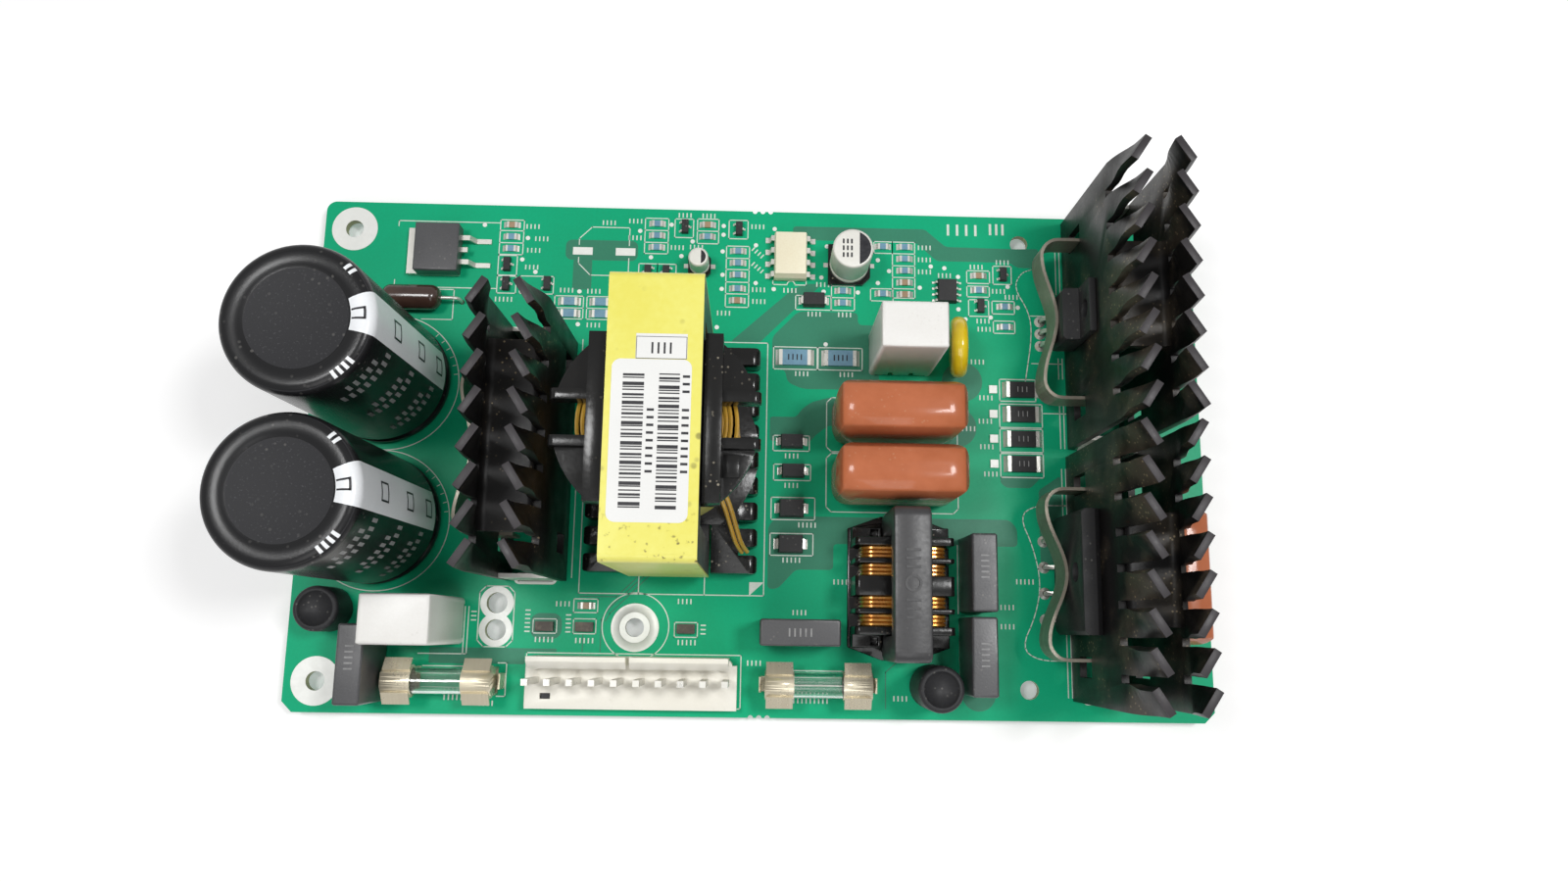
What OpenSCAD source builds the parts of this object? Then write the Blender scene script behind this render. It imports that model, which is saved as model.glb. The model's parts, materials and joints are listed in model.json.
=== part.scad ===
// Open-frame switching power supply on one circuit board, in millimetres, +Z up.
// The origin is the centre of the four mounting holes, on the underside of the board.
// Places on the board are measured from its front left corner, heights from its top face.

/* [Board] */
// Length of the circuit board
board_w = 177.8; // [176:0.2:200]
// Depth of the circuit board
board_d = 101.6; // [101:0.2:120]
// Thickness of the circuit board
board_t = 1.6; // [0.8:0.1:3.2]
// Cut at the front corners and radius at the rear corners
corner = 2; // [0.5:0.1:2.5]
// Diameter of the mounting holes
hole_d = 3.6; // [3:0.1:4.4]
// Distance of the left holes from the left edge
hole_edge_x = 6; // [5.5:0.1:7]
// Distance of the holes from the front and rear edges
hole_edge_y = 5.8; // [5.2:0.1:7]
// Distance between the left and right holes
hole_pitch_x = 136; // [134:0.5:137]
// Length of the longest leads below the board
lead_tail = 2; // [1.4:0.1:3]
// Diameter of the tinned pads round the left mounting holes
mount_pad_d = 9.2; // [7:0.1:9.6]
// Thickness of tinned pads
pad_t = 0.1; // [0.05:0.01:0.2]

/* [Bulk capacitors] */
// Diameter of a bulk capacitor
bulk_d = 25; // [20:0.5:26.5]
// Height of a bulk capacitor
bulk_h = 45; // [30:0.5:60]
// Distance between the terminals of a bulk capacitor
bulk_pitch = 10; // [7.5:0.1:12]
// Diameter of the sunk disc on a bulk capacitor's top
bulk_disc_d = 16.2; // [12:0.1:18]

/* [Transformer] */
// Length of the ferrite core
core_l = 45.2; // [42:0.1:46]
// Thickness of the ferrite core
core_w = 15; // [12:0.1:16]
// Height of the ferrite core
core_h = 42.8; // [36:0.1:50]
// Height of the core above the board
core_lift = 5.2; // [4:0.1:8]
// Thickness of the core's yokes and outer legs
yoke_t = 6; // [5:0.1:7]
// Diameter of the core's centre leg
leg_d = 14; // [11:0.1:15]
// Diameter of the bobbin's flanges
flange_d = 33.2; // [31:0.1:34]
// Length of the bobbin's flanges along the core
flange_l = 27; // [24:0.1:30]
// Width of the wire window in each flange
window_w = 5.8; // [4:0.1:8]
// Width of the bobbin over its terminal teeth
bobbin_w = 33.2; // [32.5:0.1:34]
// Number of terminal teeth on each side
tooth_count = 9; // [4:1:9]
// Distance between terminal teeth
tooth_pitch = 5.08; // [4.6:0.02:5.2]
// Width of a terminal tooth
tooth_w = 3.4; // [2.5:0.1:3.8]

/* [Choke] */
// Length of the choke's ferrite frame
choke_l = 27.6; // [26:0.1:28.5]
// Thickness of the choke's ferrite frame
choke_w = 6.8; // [5:0.1:8]
// Height of the choke's ferrite frame
choke_h = 19.5; // [18:0.1:24]
// Section of the frame's bars
choke_bar = 4.6; // [4:0.1:5]
// Width of the choke's bobbin
choke_bobbin_w = 18.6; // [16:0.1:20]

/* [Heatsinks] */
// Length of a heatsink
sink_l = 47.5; // [44:0.1:48.5]
// Height of a heatsink
sink_h = 41.6; // [36:0.1:50]
// Distance between the middles of its two walls
sink_gap = 10.6; // [9:0.1:11]
// Thickness of its walls
wall_t = 1.3; // [1:0.1:1.8]
// Number of fingers on each wall
fin_count = 8; // [5:1:9]
// Width of the slots between fingers
slot_w = 1.4; // [1:0.1:2]
// Height of the slots' lower ends
slot_z = 28.4; // [24.5:0.1:32]
// Twist of the finger tips
fin_twist = 33; // [0:1:40]
// Inward lean of the finger tips
fin_lean = 1.5; // [0:0.1:2]
// Thickness of the web between the walls
web_t = 2; // [1.2:0.1:3]
// Distance of the left web's ends from its heatsink's ends
web_inset = 7; // [4:0.1:10]
// Distance of the two right webs' ends from their heatsinks' ends
right_web_inset = 14; // [10:0.1:16]
// Height of the solder tabs' plates
tab_plate_h = 11; // [6:0.1:14]
// Thickness of the solder tabs
tab_t = 0.8; // [0.5:0.1:1.2]

/* [Spring clips] */
// Thickness of the clip strip
clip_t = 0.6; // [0.4:0.05:1]
// Width of the clip strip
clip_w = 6.5; // [5:0.1:8]
// Height of the clip strip's lower edge
clip_z = 5.6; // [4.5:0.1:7]
// Distance between the clip's ends
clip_span = 31.6; // [29:0.1:33]
// Distance of the clip's bows from the wall
clip_bulge = 7.4; // [6.6:0.1:8]

/* [Power devices] */
// Width of a transistor
tr_w = 10.2; // [9.5:0.1:11]
// Height of a transistor's moulded body
tr_body_h = 9.2; // [8:0.1:10]
// Thickness of a transistor's moulded body
tr_t = 4.5; // [4:0.1:4.8]
// Height of a transistor's metal tab
tr_tab_h = 6.3; // [5:0.1:7]
// Height of a transistor's body above the board
tr_lift = 5.7; // [5:0.1:7]
// Width of the bridge rectifier
bridge_w = 22.4; // [21:0.1:23]
// Height of the bridge rectifier's body
bridge_h = 18.5; // [16:0.1:20]
// Thickness of the bridge rectifier's body
bridge_t = 3.6; // [3:0.1:4.5]

/* [Film capacitors] */
// Length of a dipped film capacitor
film_l = 24.6; // [22:0.1:26]
// Thickness of a dipped film capacitor
film_w = 10.2; // [8:0.1:11.2]
// Thickness of the slim film capacitor beside a heatsink
slim_film_w = 8.2; // [7:0.1:8.6]
// Height of a dipped film capacitor
film_h = 19.6; // [15:0.1:24]
// Length of a box capacitor
box_l = 14.4; // [13:0.1:15]
// Thickness of a box capacitor
box_w = 4.8; // [4:0.1:5.4]
// Height of a box capacitor
box_h = 13.4; // [10:0.1:16]
// Length of the low box capacitor
low_box_l = 14.9; // [13:0.1:15.5]
// Thickness of the low box capacitor
low_box_w = 4.9; // [4:0.1:5.6]
// Height of the low box capacitor
low_box_h = 11; // [8:0.1:14]
// Length of a white box capacitor
white_l = 12.5; // [11:0.1:13]
// Thickness of a white box capacitor
white_w = 8.8; // [7:0.1:9.4]
// Height of a white box capacitor
white_h = 22.4; // [16:0.1:26]

/* [Small wired parts] */
// Diameter of the disc capacitor
disc_d = 12; // [9:0.1:12.5]
// Thickness of the disc capacitor
disc_t = 3.2; // [2.5:0.1:4.2]
// Diameter of a sleeved inductor
drum_d = 8.4; // [6:0.1:8.6]
// Height of the front sleeved inductor
drum_h = 13; // [9:0.1:16]
// Height of the left sleeved inductor
low_drum_h = 8.5; // [7:0.1:12]
// Diameter of the axial inductor
axial_d = 5; // [3.5:0.1:5.4]
// Length of the axial inductor
axial_l = 11.5; // [9:0.1:12]

/* [Fuses] */
// Length of a fuse
fuse_l = 20; // [18:0.1:20.5]
// Diameter of a fuse's end caps
fuse_d = 5.2; // [4.5:0.1:5.6]
// Length of a fuse's end caps
fuse_cap_l = 5.4; // [4.5:0.1:6]
// Thickness of the fuse clips
fuse_clip_t = 0.4; // [0.3:0.05:0.6]
// Length of the fuse clips
fuse_clip_l = 5; // [4:0.1:5.2]

/* [Header] */
// Number of pins in the header
pin_count = 10; // [6:1:10]
// Distance between the header's pins
pin_pitch = 3.96; // [3.5:0.01:4.1]
// Width of the header's square pins
pin_w = 1.14; // [0.8:0.01:1.4]
// Length of the header's pins above the board
pin_h = 14; // [12.5:0.1:16]
// Thickness of the header's base
wafer_t = 3.2; // [2.5:0.1:4]
// Depth of the header
wafer_d = 9.8; // [9:0.1:10.5]
// Height of the header's locking wall
lock_h = 11.6; // [8:0.1:12.4]

/* [Surface-mount parts] */
// Diameter of the large can capacitor
can_d = 8; // [6.3:0.1:8.4]
// Height of the large can capacitor
can_h = 9.6; // [7:0.1:12]
// Diameter of the small can capacitor
small_can_d = 4; // [3:0.1:4.4]
// Height of the small can capacitor
small_can_h = 5.2; // [4:0.1:7]
// Length of the thyristor's body
scr_l = 8.8; // [8:0.1:9.2]
// Width of the thyristor's body
scr_w = 10; // [9:0.1:10.4]
// Height of the thyristor's body
scr_h = 4.4; // [3.5:0.1:5]
// Pitch of neighbouring chips in a column
chip_pitch = 2.54; // [2.2:0.01:2.6]

/* [Hidden] */
$fn = 48;
eps = 0.01;

// Names of the sub-parts

// Board datum and holes
datum = [hole_edge_x + hole_pitch_x / 2, board_d / 2];
hole_xs = [hole_edge_x, hole_edge_x + hole_pitch_x];
hole_ys = [hole_edge_y, board_d - hole_edge_y];
ground_hole = [65.9, 16.6];
probe_holes = [[39.3, 15.8], [39.3, 20.9]];
probe_hole_d = 4;
probe_pad_d = 6.4;
short_tail = lead_tail - 0.2;
lead_gap = 0.15;
bite_d = 1;
bite_xs = [88.4, 90, 91.6];
rear_bite_shift = -1;

// Places of the main parts
bulk_places = [[15.4, 36.5], [15.4, 64]];
xfmr = [72.5, 49];
choke = [116.6, 24.9];
sink_space = 1.6;
sink_mid_y = 52.15;
sink_row_y = (sink_l + sink_space) / 2;
sinks = [[46.4, 49], [156.8, sink_mid_y + sink_row_y], [156.3, sink_mid_y - sink_row_y]];
film_places = [[115.5, 57.4, 0, film_w], [115.5, 45.6, 0, film_w], [166.9, 27.2, 90, slim_film_w]];
box_places = [[16.7, 9.4, 90], [131, 27.5, 90], [130.8, 12.2, 90], [97.3, 16.1, 0]];
white_places = [[26.9, 17.4], [117.2, 71.8]];
disc_place = [128.6, 71.7];
disc_lean = -7;
drum_places = [[122.9, 6.3], [8, 19.2]];
axial_place = [19.4, 80.8];
fuse_places = [[30.6, 6.3], [101, 6.4]];
header_pin_1 = [48.1, 6.7];

// Lead diameters and pitches
bulk_lead_d = 1.6;
xfmr_pin_d = 0.9;
choke_pin_d = 0.9;
film_lead_d = 0.8;
film_round = 4.5;
film_lift = 0.8;
boot_z = 0.3;
boot_d = 1.6;
film_pitch = film_l - 2 * film_round - 1;
box_lead_d = 0.6;
box_foot = 0.5;
foot_l = 1.2;
box_pitch = box_l - 4.4;
white_lead_d = 0.8;
white_pitch = white_l - 2.5;
disc_lead_d = 0.6;
disc_pitch = 7.5;
disc_lift = 1;
drum_lead_d = 0.7;
drum_pitch = 5;
axial_lead_d = 0.7;
axial_pitch = axial_l + 7;
device_lead_d = 1.1;
tr_pitch = 2.54;
bridge_pitch = 5.08;
device_foot_u = 4.9;
bridge_lead_shift = -0.8;

// Transformer values that follow from its sizes
tape_t = 0.3;
bobbin_gap = 0.2;
flange_t = 1.4;
window_l = core_l - 2 * yoke_t;
coil_z0 = core_lift + yoke_t;
coil_z1 = core_lift + core_h - yoke_t;
flange_depth = min(flange_l, window_l - 2 * bobbin_gap);
tube_d = leg_d + 2 * bobbin_gap + 2 * flange_t;
coil_d = min(window_l - 2.4, flange_d - 6.6);
tooth_l = 3.6;
tooth_h = 5.6;
rail_x0 = core_w / 2 + tape_t;
rail_l = (tooth_count - 1) * tooth_pitch + tooth_w;
xfmr_pin_x = bobbin_w / 2 - tooth_l / 2;
ridge_w = 2.8;
ridge_h = 4;
notch_x = rail_x0 + ridge_w;
rib_w = 1.7;
rib_h = 2.2;
rib_over = 0.2;
boss = [2.4, 3.6, 0.8];
boss_shift = [1.6, -7.2];
label_t = 0.1;
label = [12.4, 25.4];
label_r = 1.4;
label_shift = [-0.3, -4.2];
small_label = [8, 4];
small_label_shift = [1.1, 10.6];

// Choke values that follow from its sizes
choke_lift = 2.2;
choke_win_l = choke_l - 2 * choke_bar;
choke_gap = 0.2;
choke_end_t = 1.5;
choke_mid_t = 3.6;
choke_sep_t = 0.9;
choke_bobbin_h = choke_lift + choke_bar + 4.2;
choke_coil_inset = 1.2;
choke_ear_l = 2.4;
choke_ear_h = 4.4;
choke_base_t = choke_coil_inset - 0.2;
choke_base_over = 0.6;
choke_pocket = 1.4;
choke_pin = [choke_bobbin_w / 2 - 1.6, choke_win_l / 2 + choke_gap + choke_ear_l / 2];

// Heatsink values that follow from its sizes
fin_w = (sink_l - (fin_count - 1) * slot_w) / fin_count;
fin_pitch = fin_w + slot_w;
fin_root = 1.5;
fin_h = sink_h - slot_z - fin_root;
fin_steps = 6;
twist_end = 0.75;
web_top = slot_z - 0.4;
web_r = 1.4;
wall_x = sink_gap / 2 + wall_t / 2;
inner_w = sink_gap - wall_t;
tab_leg_w = 6.4;
tab_y = sink_l / 2 - tab_t / 2;
tab_slot_gap = 0.2;
clip_slot = 3.8;
clip_slot_y = clip_span / 2 + clip_slot / 2 - 0.6;
clip_slot_gap = 0.4;
clip_r = 3.4;
clip_reach = wall_t + 2.4;

// Fuse values that follow from its sizes
fuse_z = fuse_d / 2 + fuse_clip_t + 2.4;
fuse_wall = 0.2;
glass_d = fuse_d - 2 * fuse_wall;
glass_bore = glass_d - 1;
fuse_wire_d = 0.3;
fuse_clip_x = fuse_l / 2 - fuse_cap_l / 2;
fuse_leg_y = 2.2;
fuse_leg_d = 1.1;
lip_open = 46;
lip_l = 2.6;
lip_flare = 12;

// Header values that follow from its sizes
wafer_l = pin_count * pin_pitch;
wafer_front = 5.3;
lock_t = 1.5;
lock_end = 1.5;
lock_slit = 0.7;
header_leg_d = 1.7;

// Chip packages: length, width and height of the body, and length of the metal ends
pack_0805 = [2, 1.25, 0.5, 0.4];
pack_1206 = [3.2, 1.6, 0.55, 0.5];
pack_2512 = [6.4, 3.2, 0.6, 0.7];
sense_pack = [6.4, 3.2, 1, 0.7];
solder_toe = 0.7;
// Columns of chips: place of the first one, and the kind of each, c capacitor and r resistor
chip_columns = [
    [37.8, board_d - 4.2, "crr"], [67.4, board_d - 3.2, "rrr"], [77.7, board_d - 3.2, "cr"],
    [84.1, board_d - 8.7, "rrr"], [84.1, board_d - 16.7, "rc"], [113.8, board_d - 7, "r"],
    [118.3, board_d - 7, "rrrcc"], [113.8, board_d - 17.1, "r"], [133.5, board_d - 12.8, "c"],
    [133.5, board_d - 15.9, "r"], [138.8, board_d - 19.3, "r"], [138.8, board_d - 23.6, "r"],
    [105.6, 84.9, "rr"], [56.4, 20.6, "c"]];
long_chips = [[50.2, 81.4], [56.5, 81.4], [50.2, 78.9], [56.5, 78.9]];
power_chips = [[96, 70.7], [105.2, 70.7]];
sense_place = [141.8, 64.9];
sense_pitch = 5.05;
sense_places = [for (i = [0:3]) [sense_place[0], sense_place[1] - sense_pitch * i]];
link_shift = 5.8;
link_pads = [for (p = sense_places) [p[0] - link_shift, p[1]]];
// Three-lead chips: place and the side of the single lead
sot_places = [
    [37.3, board_d - 12.7, 1], [37.3, board_d - 16.8, 1], [45.6, board_d - 16.6, 1],
    [73.1, board_d - 3.8, 1], [84.2, board_d - 4, 1], [133.8, board_d - 19.3, 1],
    [138.5, board_d - 12.5, 1], [65.8, board_d - 13.7, -1], [69.5, board_d - 13.7, -1]];
sot_body = [1.4, 2.9, 1];
sot_span = 2.5;
sot_pitch = 1.9;
diode_places = [[95.6, 53.4], [95.9, 47.5], [99.7, 82.6]];
diode_body = [4.4, 2.7, 2.1];
zener_places = [[95.7, 40.1], [95.6, 33.1]];
zener_body = [4.8, 3.5, 2.3];
diode_foot = 0.9;
soic_place = [126.9, 85.2];
soic_body = [3.9, 4.9, 1.5];
soic_span = 6;
soic_pitch = 1.27;
opto_place = [94.8, 91.5];
opto_body = [6.6, 9.5, 3.6];
opto_span = 10.2;
opto_pitch = 2.54;
chip_lift = 0.15;
can_place = [106.8, 90.3];
small_can_place = [76.3, board_d - 12.2];
can_base_t = 1;
can_base_rim = 0.3;
scr_place = [23.9, 91];
scr_tab_t = 1.3;
scr_tab_l = 2.6;
scr_pitch = 5.08;
scr_lead_l = 5.6;
test_places = [[48.7, 16.6], [56.3, 16.6], [75.7, 16.5]];
test_size = [3.4, 1.8, 1.3];
test_t = 0.3;
blank_pads = [[52.4, board_d - 9.4], [61.1, board_d - 9.4]];
blank_pad = [4, 1.6];

// Lead places of each wired part, from the board's corner: x, y, diameter and height of the top
function pair(p, pitch, angle, d, top) =
    [for (s = [-1, 1])
        [p[0] + s * pitch / 2 * cos(angle), p[1] + s * pitch / 2 * sin(angle), d, top]];
function device_leads_at(s, pitch, count, shift) =
    [for (i = [0:count - 1])
        [s[0] - wall_x - device_foot_u, s[1] + shift + (i - (count - 1) / 2) * pitch, device_lead_d, 0]];
bulk_leads = [for (p = bulk_places) each pair(p, bulk_pitch, 90, bulk_lead_d, 0)];
xfmr_leads = [for (s = [-1, 1], i = [0:tooth_count - 1])
    [xfmr[0] + s * xfmr_pin_x, xfmr[1] + (i - (tooth_count - 1) / 2) * tooth_pitch, xfmr_pin_d, 0]];
choke_leads = [for (sx = [-1, 1], sy = [-1, 1])
    [choke[0] + sx * choke_pin[0], choke[1] + sy * choke_pin[1], choke_pin_d, 0]];
device_lead_places = concat(
    device_leads_at(sinks[0], tr_pitch, 3, 0),
    device_leads_at(sinks[1], tr_pitch, 3, 0),
    device_leads_at(sinks[2], bridge_pitch, 4, bridge_lead_shift));
small_leads = concat(
    [for (p = film_places) each pair(p, film_pitch, p[2], film_lead_d, boot_z)],
    [for (p = box_places) each pair(p, box_pitch, p[2], box_lead_d, box_foot)],
    [for (p = white_places) each pair(p, white_pitch, 0, white_lead_d, box_foot)],
    pair(disc_place, disc_pitch, 90, disc_lead_d, disc_lift),
    [for (p = drum_places) each pair(p, drum_pitch, 0, drum_lead_d, 0)]);
axial_leads = pair(axial_place, axial_pitch, 0, axial_lead_d, 0);
fuse_leads = [for (p = fuse_places, sx = [-1, 1], sy = [-1, 1])
    [p[0] + sx * fuse_clip_x, p[1] + sy * fuse_leg_y, fuse_leg_d, 0]];
header_leads = [for (i = [0:pin_count - 1])
    [header_pin_1[0] + i * pin_pitch, header_pin_1[1], header_leg_d, 0]];
all_leads = concat(bulk_leads, xfmr_leads, choke_leads, device_lead_places, small_leads,
    axial_leads, fuse_leads, header_leads);

// Shared shapes

// Moves its children to a place on the board's top face
module at(p) {
    translate([p[0] - datum[0], p[1] - datum[1], board_t]) children();
}

// Flat outline of a rectangle with round corners, centred
module round_rect(w, d, r) {
    square([w - 2 * r, d], center = true);
    square([w, d - 2 * r], center = true);
    for (x = [-1, 1], y = [-1, 1])
        translate([x * (w / 2 - r), y * (d / 2 - r)]) circle(r);
}

// Outline of a strip of even thickness along a path of points
function strip_side(path, t) =
    [for (i = [0:len(path) - 1])
        let (a = path[max(i - 1, 0)])
        let (b = path[min(i + 1, len(path) - 1)])
        let (along = (b - a) / norm(b - a))
        path[i] + t / 2 * [-along[1], along[0]]];
function strip(path, t) =
    let (left = strip_side(path, t))
    let (right = strip_side(path, -t))
    concat(left, [for (i = [len(right) - 1:-1:0]) right[i]]);

// Stands a flat outline up in the YZ plane and gives it a thickness along X
module stand_x(t) {
    rotate([90, 0, 90]) translate([0, 0, -t / 2]) linear_extrude(t) children();
}

// Stands a flat outline up in the XZ plane and gives it a thickness along Y
module stand_y(t) {
    rotate([90, 0, 0]) translate([0, 0, -t / 2]) linear_extrude(t) children();
}

// Block with round upright edges and round top edges, standing on z = 0
module soft_block(l, w, h, r) {
    intersection() {
        linear_extrude(h) round_rect(l, w, r);
        stand_y(w) translate([0, h / 2 - r / 2]) round_rect(l, h + r, r);
        stand_x(l) translate([0, h / 2 - r / 2]) round_rect(w, h + r, r);
    }
}

// Round pin from one height to another
module round_pin(d, z0, z1) {
    translate([0, 0, z0]) cylinder(h = z1 - z0, d = d);
}

// Row of straight leads that end below the board
module straight_leads(leads, tail) {
    for (p = leads)
        at(p) round_pin(p[2], -board_t - tail, p[3]);
}

// Board and its metal

module board() {
    color("seagreen")
    translate([-datum[0], -datum[1], 0])
    difference() {
        linear_extrude(board_t) difference() {
            translate([board_w / 2, board_d / 2]) board_outline();
            for (x = bite_xs) {
                translate([x, 0]) circle(d = bite_d);
                translate([x + rear_bite_shift, board_d]) circle(d = bite_d);
            }
            for (s = sinks, side = [-1, 1])
                translate([s[0], s[1] + side * tab_y])
                    square([tab_leg_w + 2 * tab_slot_gap, tab_t + 2 * tab_slot_gap], center = true);
        }
        for (x = hole_xs, y = hole_ys)
            translate([x, y, -1]) cylinder(h = board_t + 2, d = hole_d);
        translate([ground_hole[0], ground_hole[1], -1]) cylinder(h = board_t + 2, d = hole_d + 2 * pad_t);
        for (p = probe_holes)
            translate([p[0], p[1], -1]) cylinder(h = board_t + 2, d = probe_hole_d);
        for (p = all_leads)
            translate([p[0], p[1], -1]) cylinder(h = board_t + 2, d = p[2] + 2 * lead_gap);
    }
}

// Board outline with cut front corners and round rear corners
module board_outline() {
    intersection() {
        polygon([
            [-board_w / 2 + corner, -board_d / 2], [board_w / 2 - corner, -board_d / 2],
            [board_w / 2, -board_d / 2 + corner], [board_w / 2, board_d / 2],
            [-board_w / 2, board_d / 2], [-board_w / 2, -board_d / 2 + corner]]);
        translate([0, -corner]) round_rect(board_w, board_d + 2 * corner, corner);
    }
}

module tinned_pads() {
    color("gainsboro") {
        for (y = hole_ys)
            at([hole_edge_x, y]) ring(mount_pad_d, hole_d, pad_t);
        at([0, 0]) linear_extrude(pad_t) difference() {
            for (p = probe_holes)
                translate(p) circle(d = probe_pad_d);
            for (p = probe_holes)
                translate(p) circle(d = probe_hole_d);
        }
        for (p = blank_pads)
            at(p) linear_extrude(pad_t) square(blank_pad, center = true);
        for (p = link_pads)
            at(p) linear_extrude(5 * pad_t) square(blank_pad[1], center = true);
        for (s = sinks, side = [-1, 1])
            at([s[0], s[1] + side * tab_y]) linear_extrude(pad_t) tab_pad();
    }
}

// Slotted pad round a heatsink's solder tab
module tab_pad() {
    difference() {
        round_rect(tab_leg_w + 1.8, tab_t + 1.4, (tab_t + 1.4) / 2.2);
        square([tab_leg_w + 2 * tab_slot_gap, tab_t + 2 * tab_slot_gap], center = true);
    }
}

// Flat ring on z = 0
module ring(outer, inner, h) {
    linear_extrude(h) difference() {
        circle(d = outer);
        circle(d = inner);
    }
}

module ground_eyelet() {
    barrel_d = hole_d + 2 * pad_t;
    color("silver")
    at(ground_hole) {
        difference() {
            union() {
                translate([0, 0, -board_t]) cylinder(h = board_t, d = barrel_d);
                cylinder(h = 2 * pad_t, d = mount_pad_d);
                cylinder(h = 6 * pad_t, d = hole_d + 2.2);
            }
            translate([0, 0, -board_t - 1]) cylinder(h = board_t + 3, d = hole_d);
        }
    }
}

// Solder cone under the board round each wired lead, and on top round the power leads
module solder_joints() {
    joint_h = 1;
    joint_rim = 0.6;
    color("silver") {
        for (p = all_leads)
            at([p[0], p[1]]) translate([0, 0, -board_t]) mirror([0, 0, 1])
                solder_cone(p[2] / 2, joint_rim, joint_h);
        for (p = device_lead_places)
            at([p[0], p[1]]) solder_cone(p[2] / 2, joint_rim, joint_h / 2);
    }
}

module solder_cone(r, rim, h) {
    rotate_extrude() polygon([[r, 0], [r + rim, 0], [r, h]]);
}

// Bulk capacitors

module bulk_capacitor(p) {
    edge = 1.8;
    recess = 0.5;
    slope = 1.4;
    groove_r = 1;
    groove_z = 4;
    r = bulk_d / 2;
    disc_r = bulk_disc_d / 2;
    color([0.12, 0.12, 0.13])
    at(p) rotate_extrude($fn = 96) difference() {
        intersection() {
            translate([0, bulk_h / 2]) round_rect(bulk_d, bulk_h, edge);
            square([r, bulk_h]);
        }
        polygon([
            [0, bulk_h - recess], [disc_r, bulk_h - recess], [disc_r + slope, bulk_h],
            [disc_r + slope, bulk_h + 1], [0, bulk_h + 1]]);
        translate([r + groove_r / 2, groove_z]) circle(groove_r);
    }
}

module bulk_capacitor_1() {
    bulk_capacitor(bulk_places[0]);
}

module bulk_capacitor_2() {
    bulk_capacitor(bulk_places[1]);
}

module bulk_terminals() {
    color("silver") straight_leads(bulk_leads, lead_tail);
}

// Transformer

module transformer_core() {
    color([0.2, 0.2, 0.21])
    at(xfmr) {
        difference() {
            stand_x(core_w) core_outline(0);
            translate([-core_w, -window_l / 2, coil_z0]) cube([2 * core_w, window_l, coil_z1 - coil_z0]);
        }
        round_pin(leg_d, coil_z0 - 1, coil_z1 + 1);
    }
}

// Outline of the core seen from its side, grown by an amount
module core_outline(grow) {
    translate([0, core_lift + core_h / 2])
        round_rect(core_l + 2 * grow, core_h + 2 * grow, 1 + grow);
}

module transformer_tape() {
    color("khaki")
    at(xfmr) stand_x(core_w) difference() {
        core_outline(tape_t);
        core_outline(0);
    }
}

module transformer_labels() {
    color("white")
    at(xfmr) translate([0, 0, core_lift + core_h + tape_t]) {
        translate(label_shift) linear_extrude(label_t) round_rect(label[0], label[1], label_r);
        translate(small_label_shift) linear_extrude(label_t) square(small_label, center = true);
    }
}

module transformer_winding() {
    color("peru")
    at(xfmr) translate([0, 0, coil_z0 + flange_t]) linear_extrude(coil_z1 - coil_z0 - 2 * flange_t)
        difference() {
            circle(d = coil_d);
            circle(d = tube_d);
        }
}

module transformer_bobbin() {
    color([0.1, 0.1, 0.1])
    at(xfmr) {
        difference() {
            union() {
                round_pin(tube_d, coil_z0, coil_z1);
                translate([0, 0, coil_z0]) linear_extrude(flange_t) flange_outline();
                translate([0, 0, coil_z1 - flange_t]) linear_extrude(flange_t) flange_outline();
            }
            round_pin(leg_d + 2 * bobbin_gap, coil_z0 - 1, coil_z1 + 1);
        }
        for (s = [-1, 1]) {
            translate([s * (rail_x0 + ridge_w / 2), 0, coil_z1 - eps]) linear_extrude(ridge_h)
                square([ridge_w, flange_depth], center = true);
            window_ribs(s);
            terminal_rail(s);
        }
        translate([notch_x + boss_shift[0], boss_shift[1], coil_z1 - eps]) linear_extrude(boss[2])
            square([boss[0], boss[1]], center = true);
    }
}

// Round flange, trimmed between the core's outer legs, with a wire window on each side
module flange_outline() {
    difference() {
        intersection() {
            circle(d = flange_d, $fn = 96);
            square([flange_d, flange_depth], center = true);
        }
        for (s = [-1, 1])
            translate([s * (notch_x + flange_d / 2), 0]) square([flange_d, window_w], center = true);
    }
}

// Rounded ribs from the ridge to the rim on both sides of a wire window
module window_ribs(s) {
    sunk = 1;
    rib_l = flange_d / 2 + rib_over - notch_x + sunk;
    for (side = [-1, 1])
        translate([s * (notch_x - sunk + rib_l / 2), side * (window_w + rib_w) / 2, coil_z1])
            stand_y(rib_w) translate([0, (rib_h - flange_t) / 2])
                round_rect(rib_l, flange_t + rib_h, 1.2);
}

// Rail beside the lower yoke with the terminal teeth on its outer side
module terminal_rail(s) {
    rail_w = bobbin_w / 2 - tooth_l - rail_x0;
    translate([s * (rail_x0 + rail_w / 2), 0, 0]) {
        linear_extrude(coil_z0 + eps) square([rail_w, flange_depth - 2], center = true);
        linear_extrude(tooth_h) square([rail_w, rail_l], center = true);
    }
    for (i = [0:tooth_count - 1])
        translate([s * (bobbin_w / 2 - tooth_l), (i - (tooth_count - 1) / 2) * tooth_pitch, 0])
            intersection() {
                linear_extrude(tooth_h) round_rect(2 * tooth_l, tooth_w, 0.8);
                stand_y(tooth_w) round_rect(2 * tooth_l, 2 * tooth_h, 1.6);
            }
}

module transformer_pins() {
    color("silver") straight_leads(xfmr_leads, lead_tail);
}

// Common-mode choke

module choke_core() {
    color([0.25, 0.25, 0.26])
    at(choke) stand_x(choke_w) translate([0, choke_lift + choke_h / 2]) difference() {
        round_rect(choke_l, choke_h, 2);
        square([choke_win_l, choke_h - 2 * choke_bar], center = true);
    }
}

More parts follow.
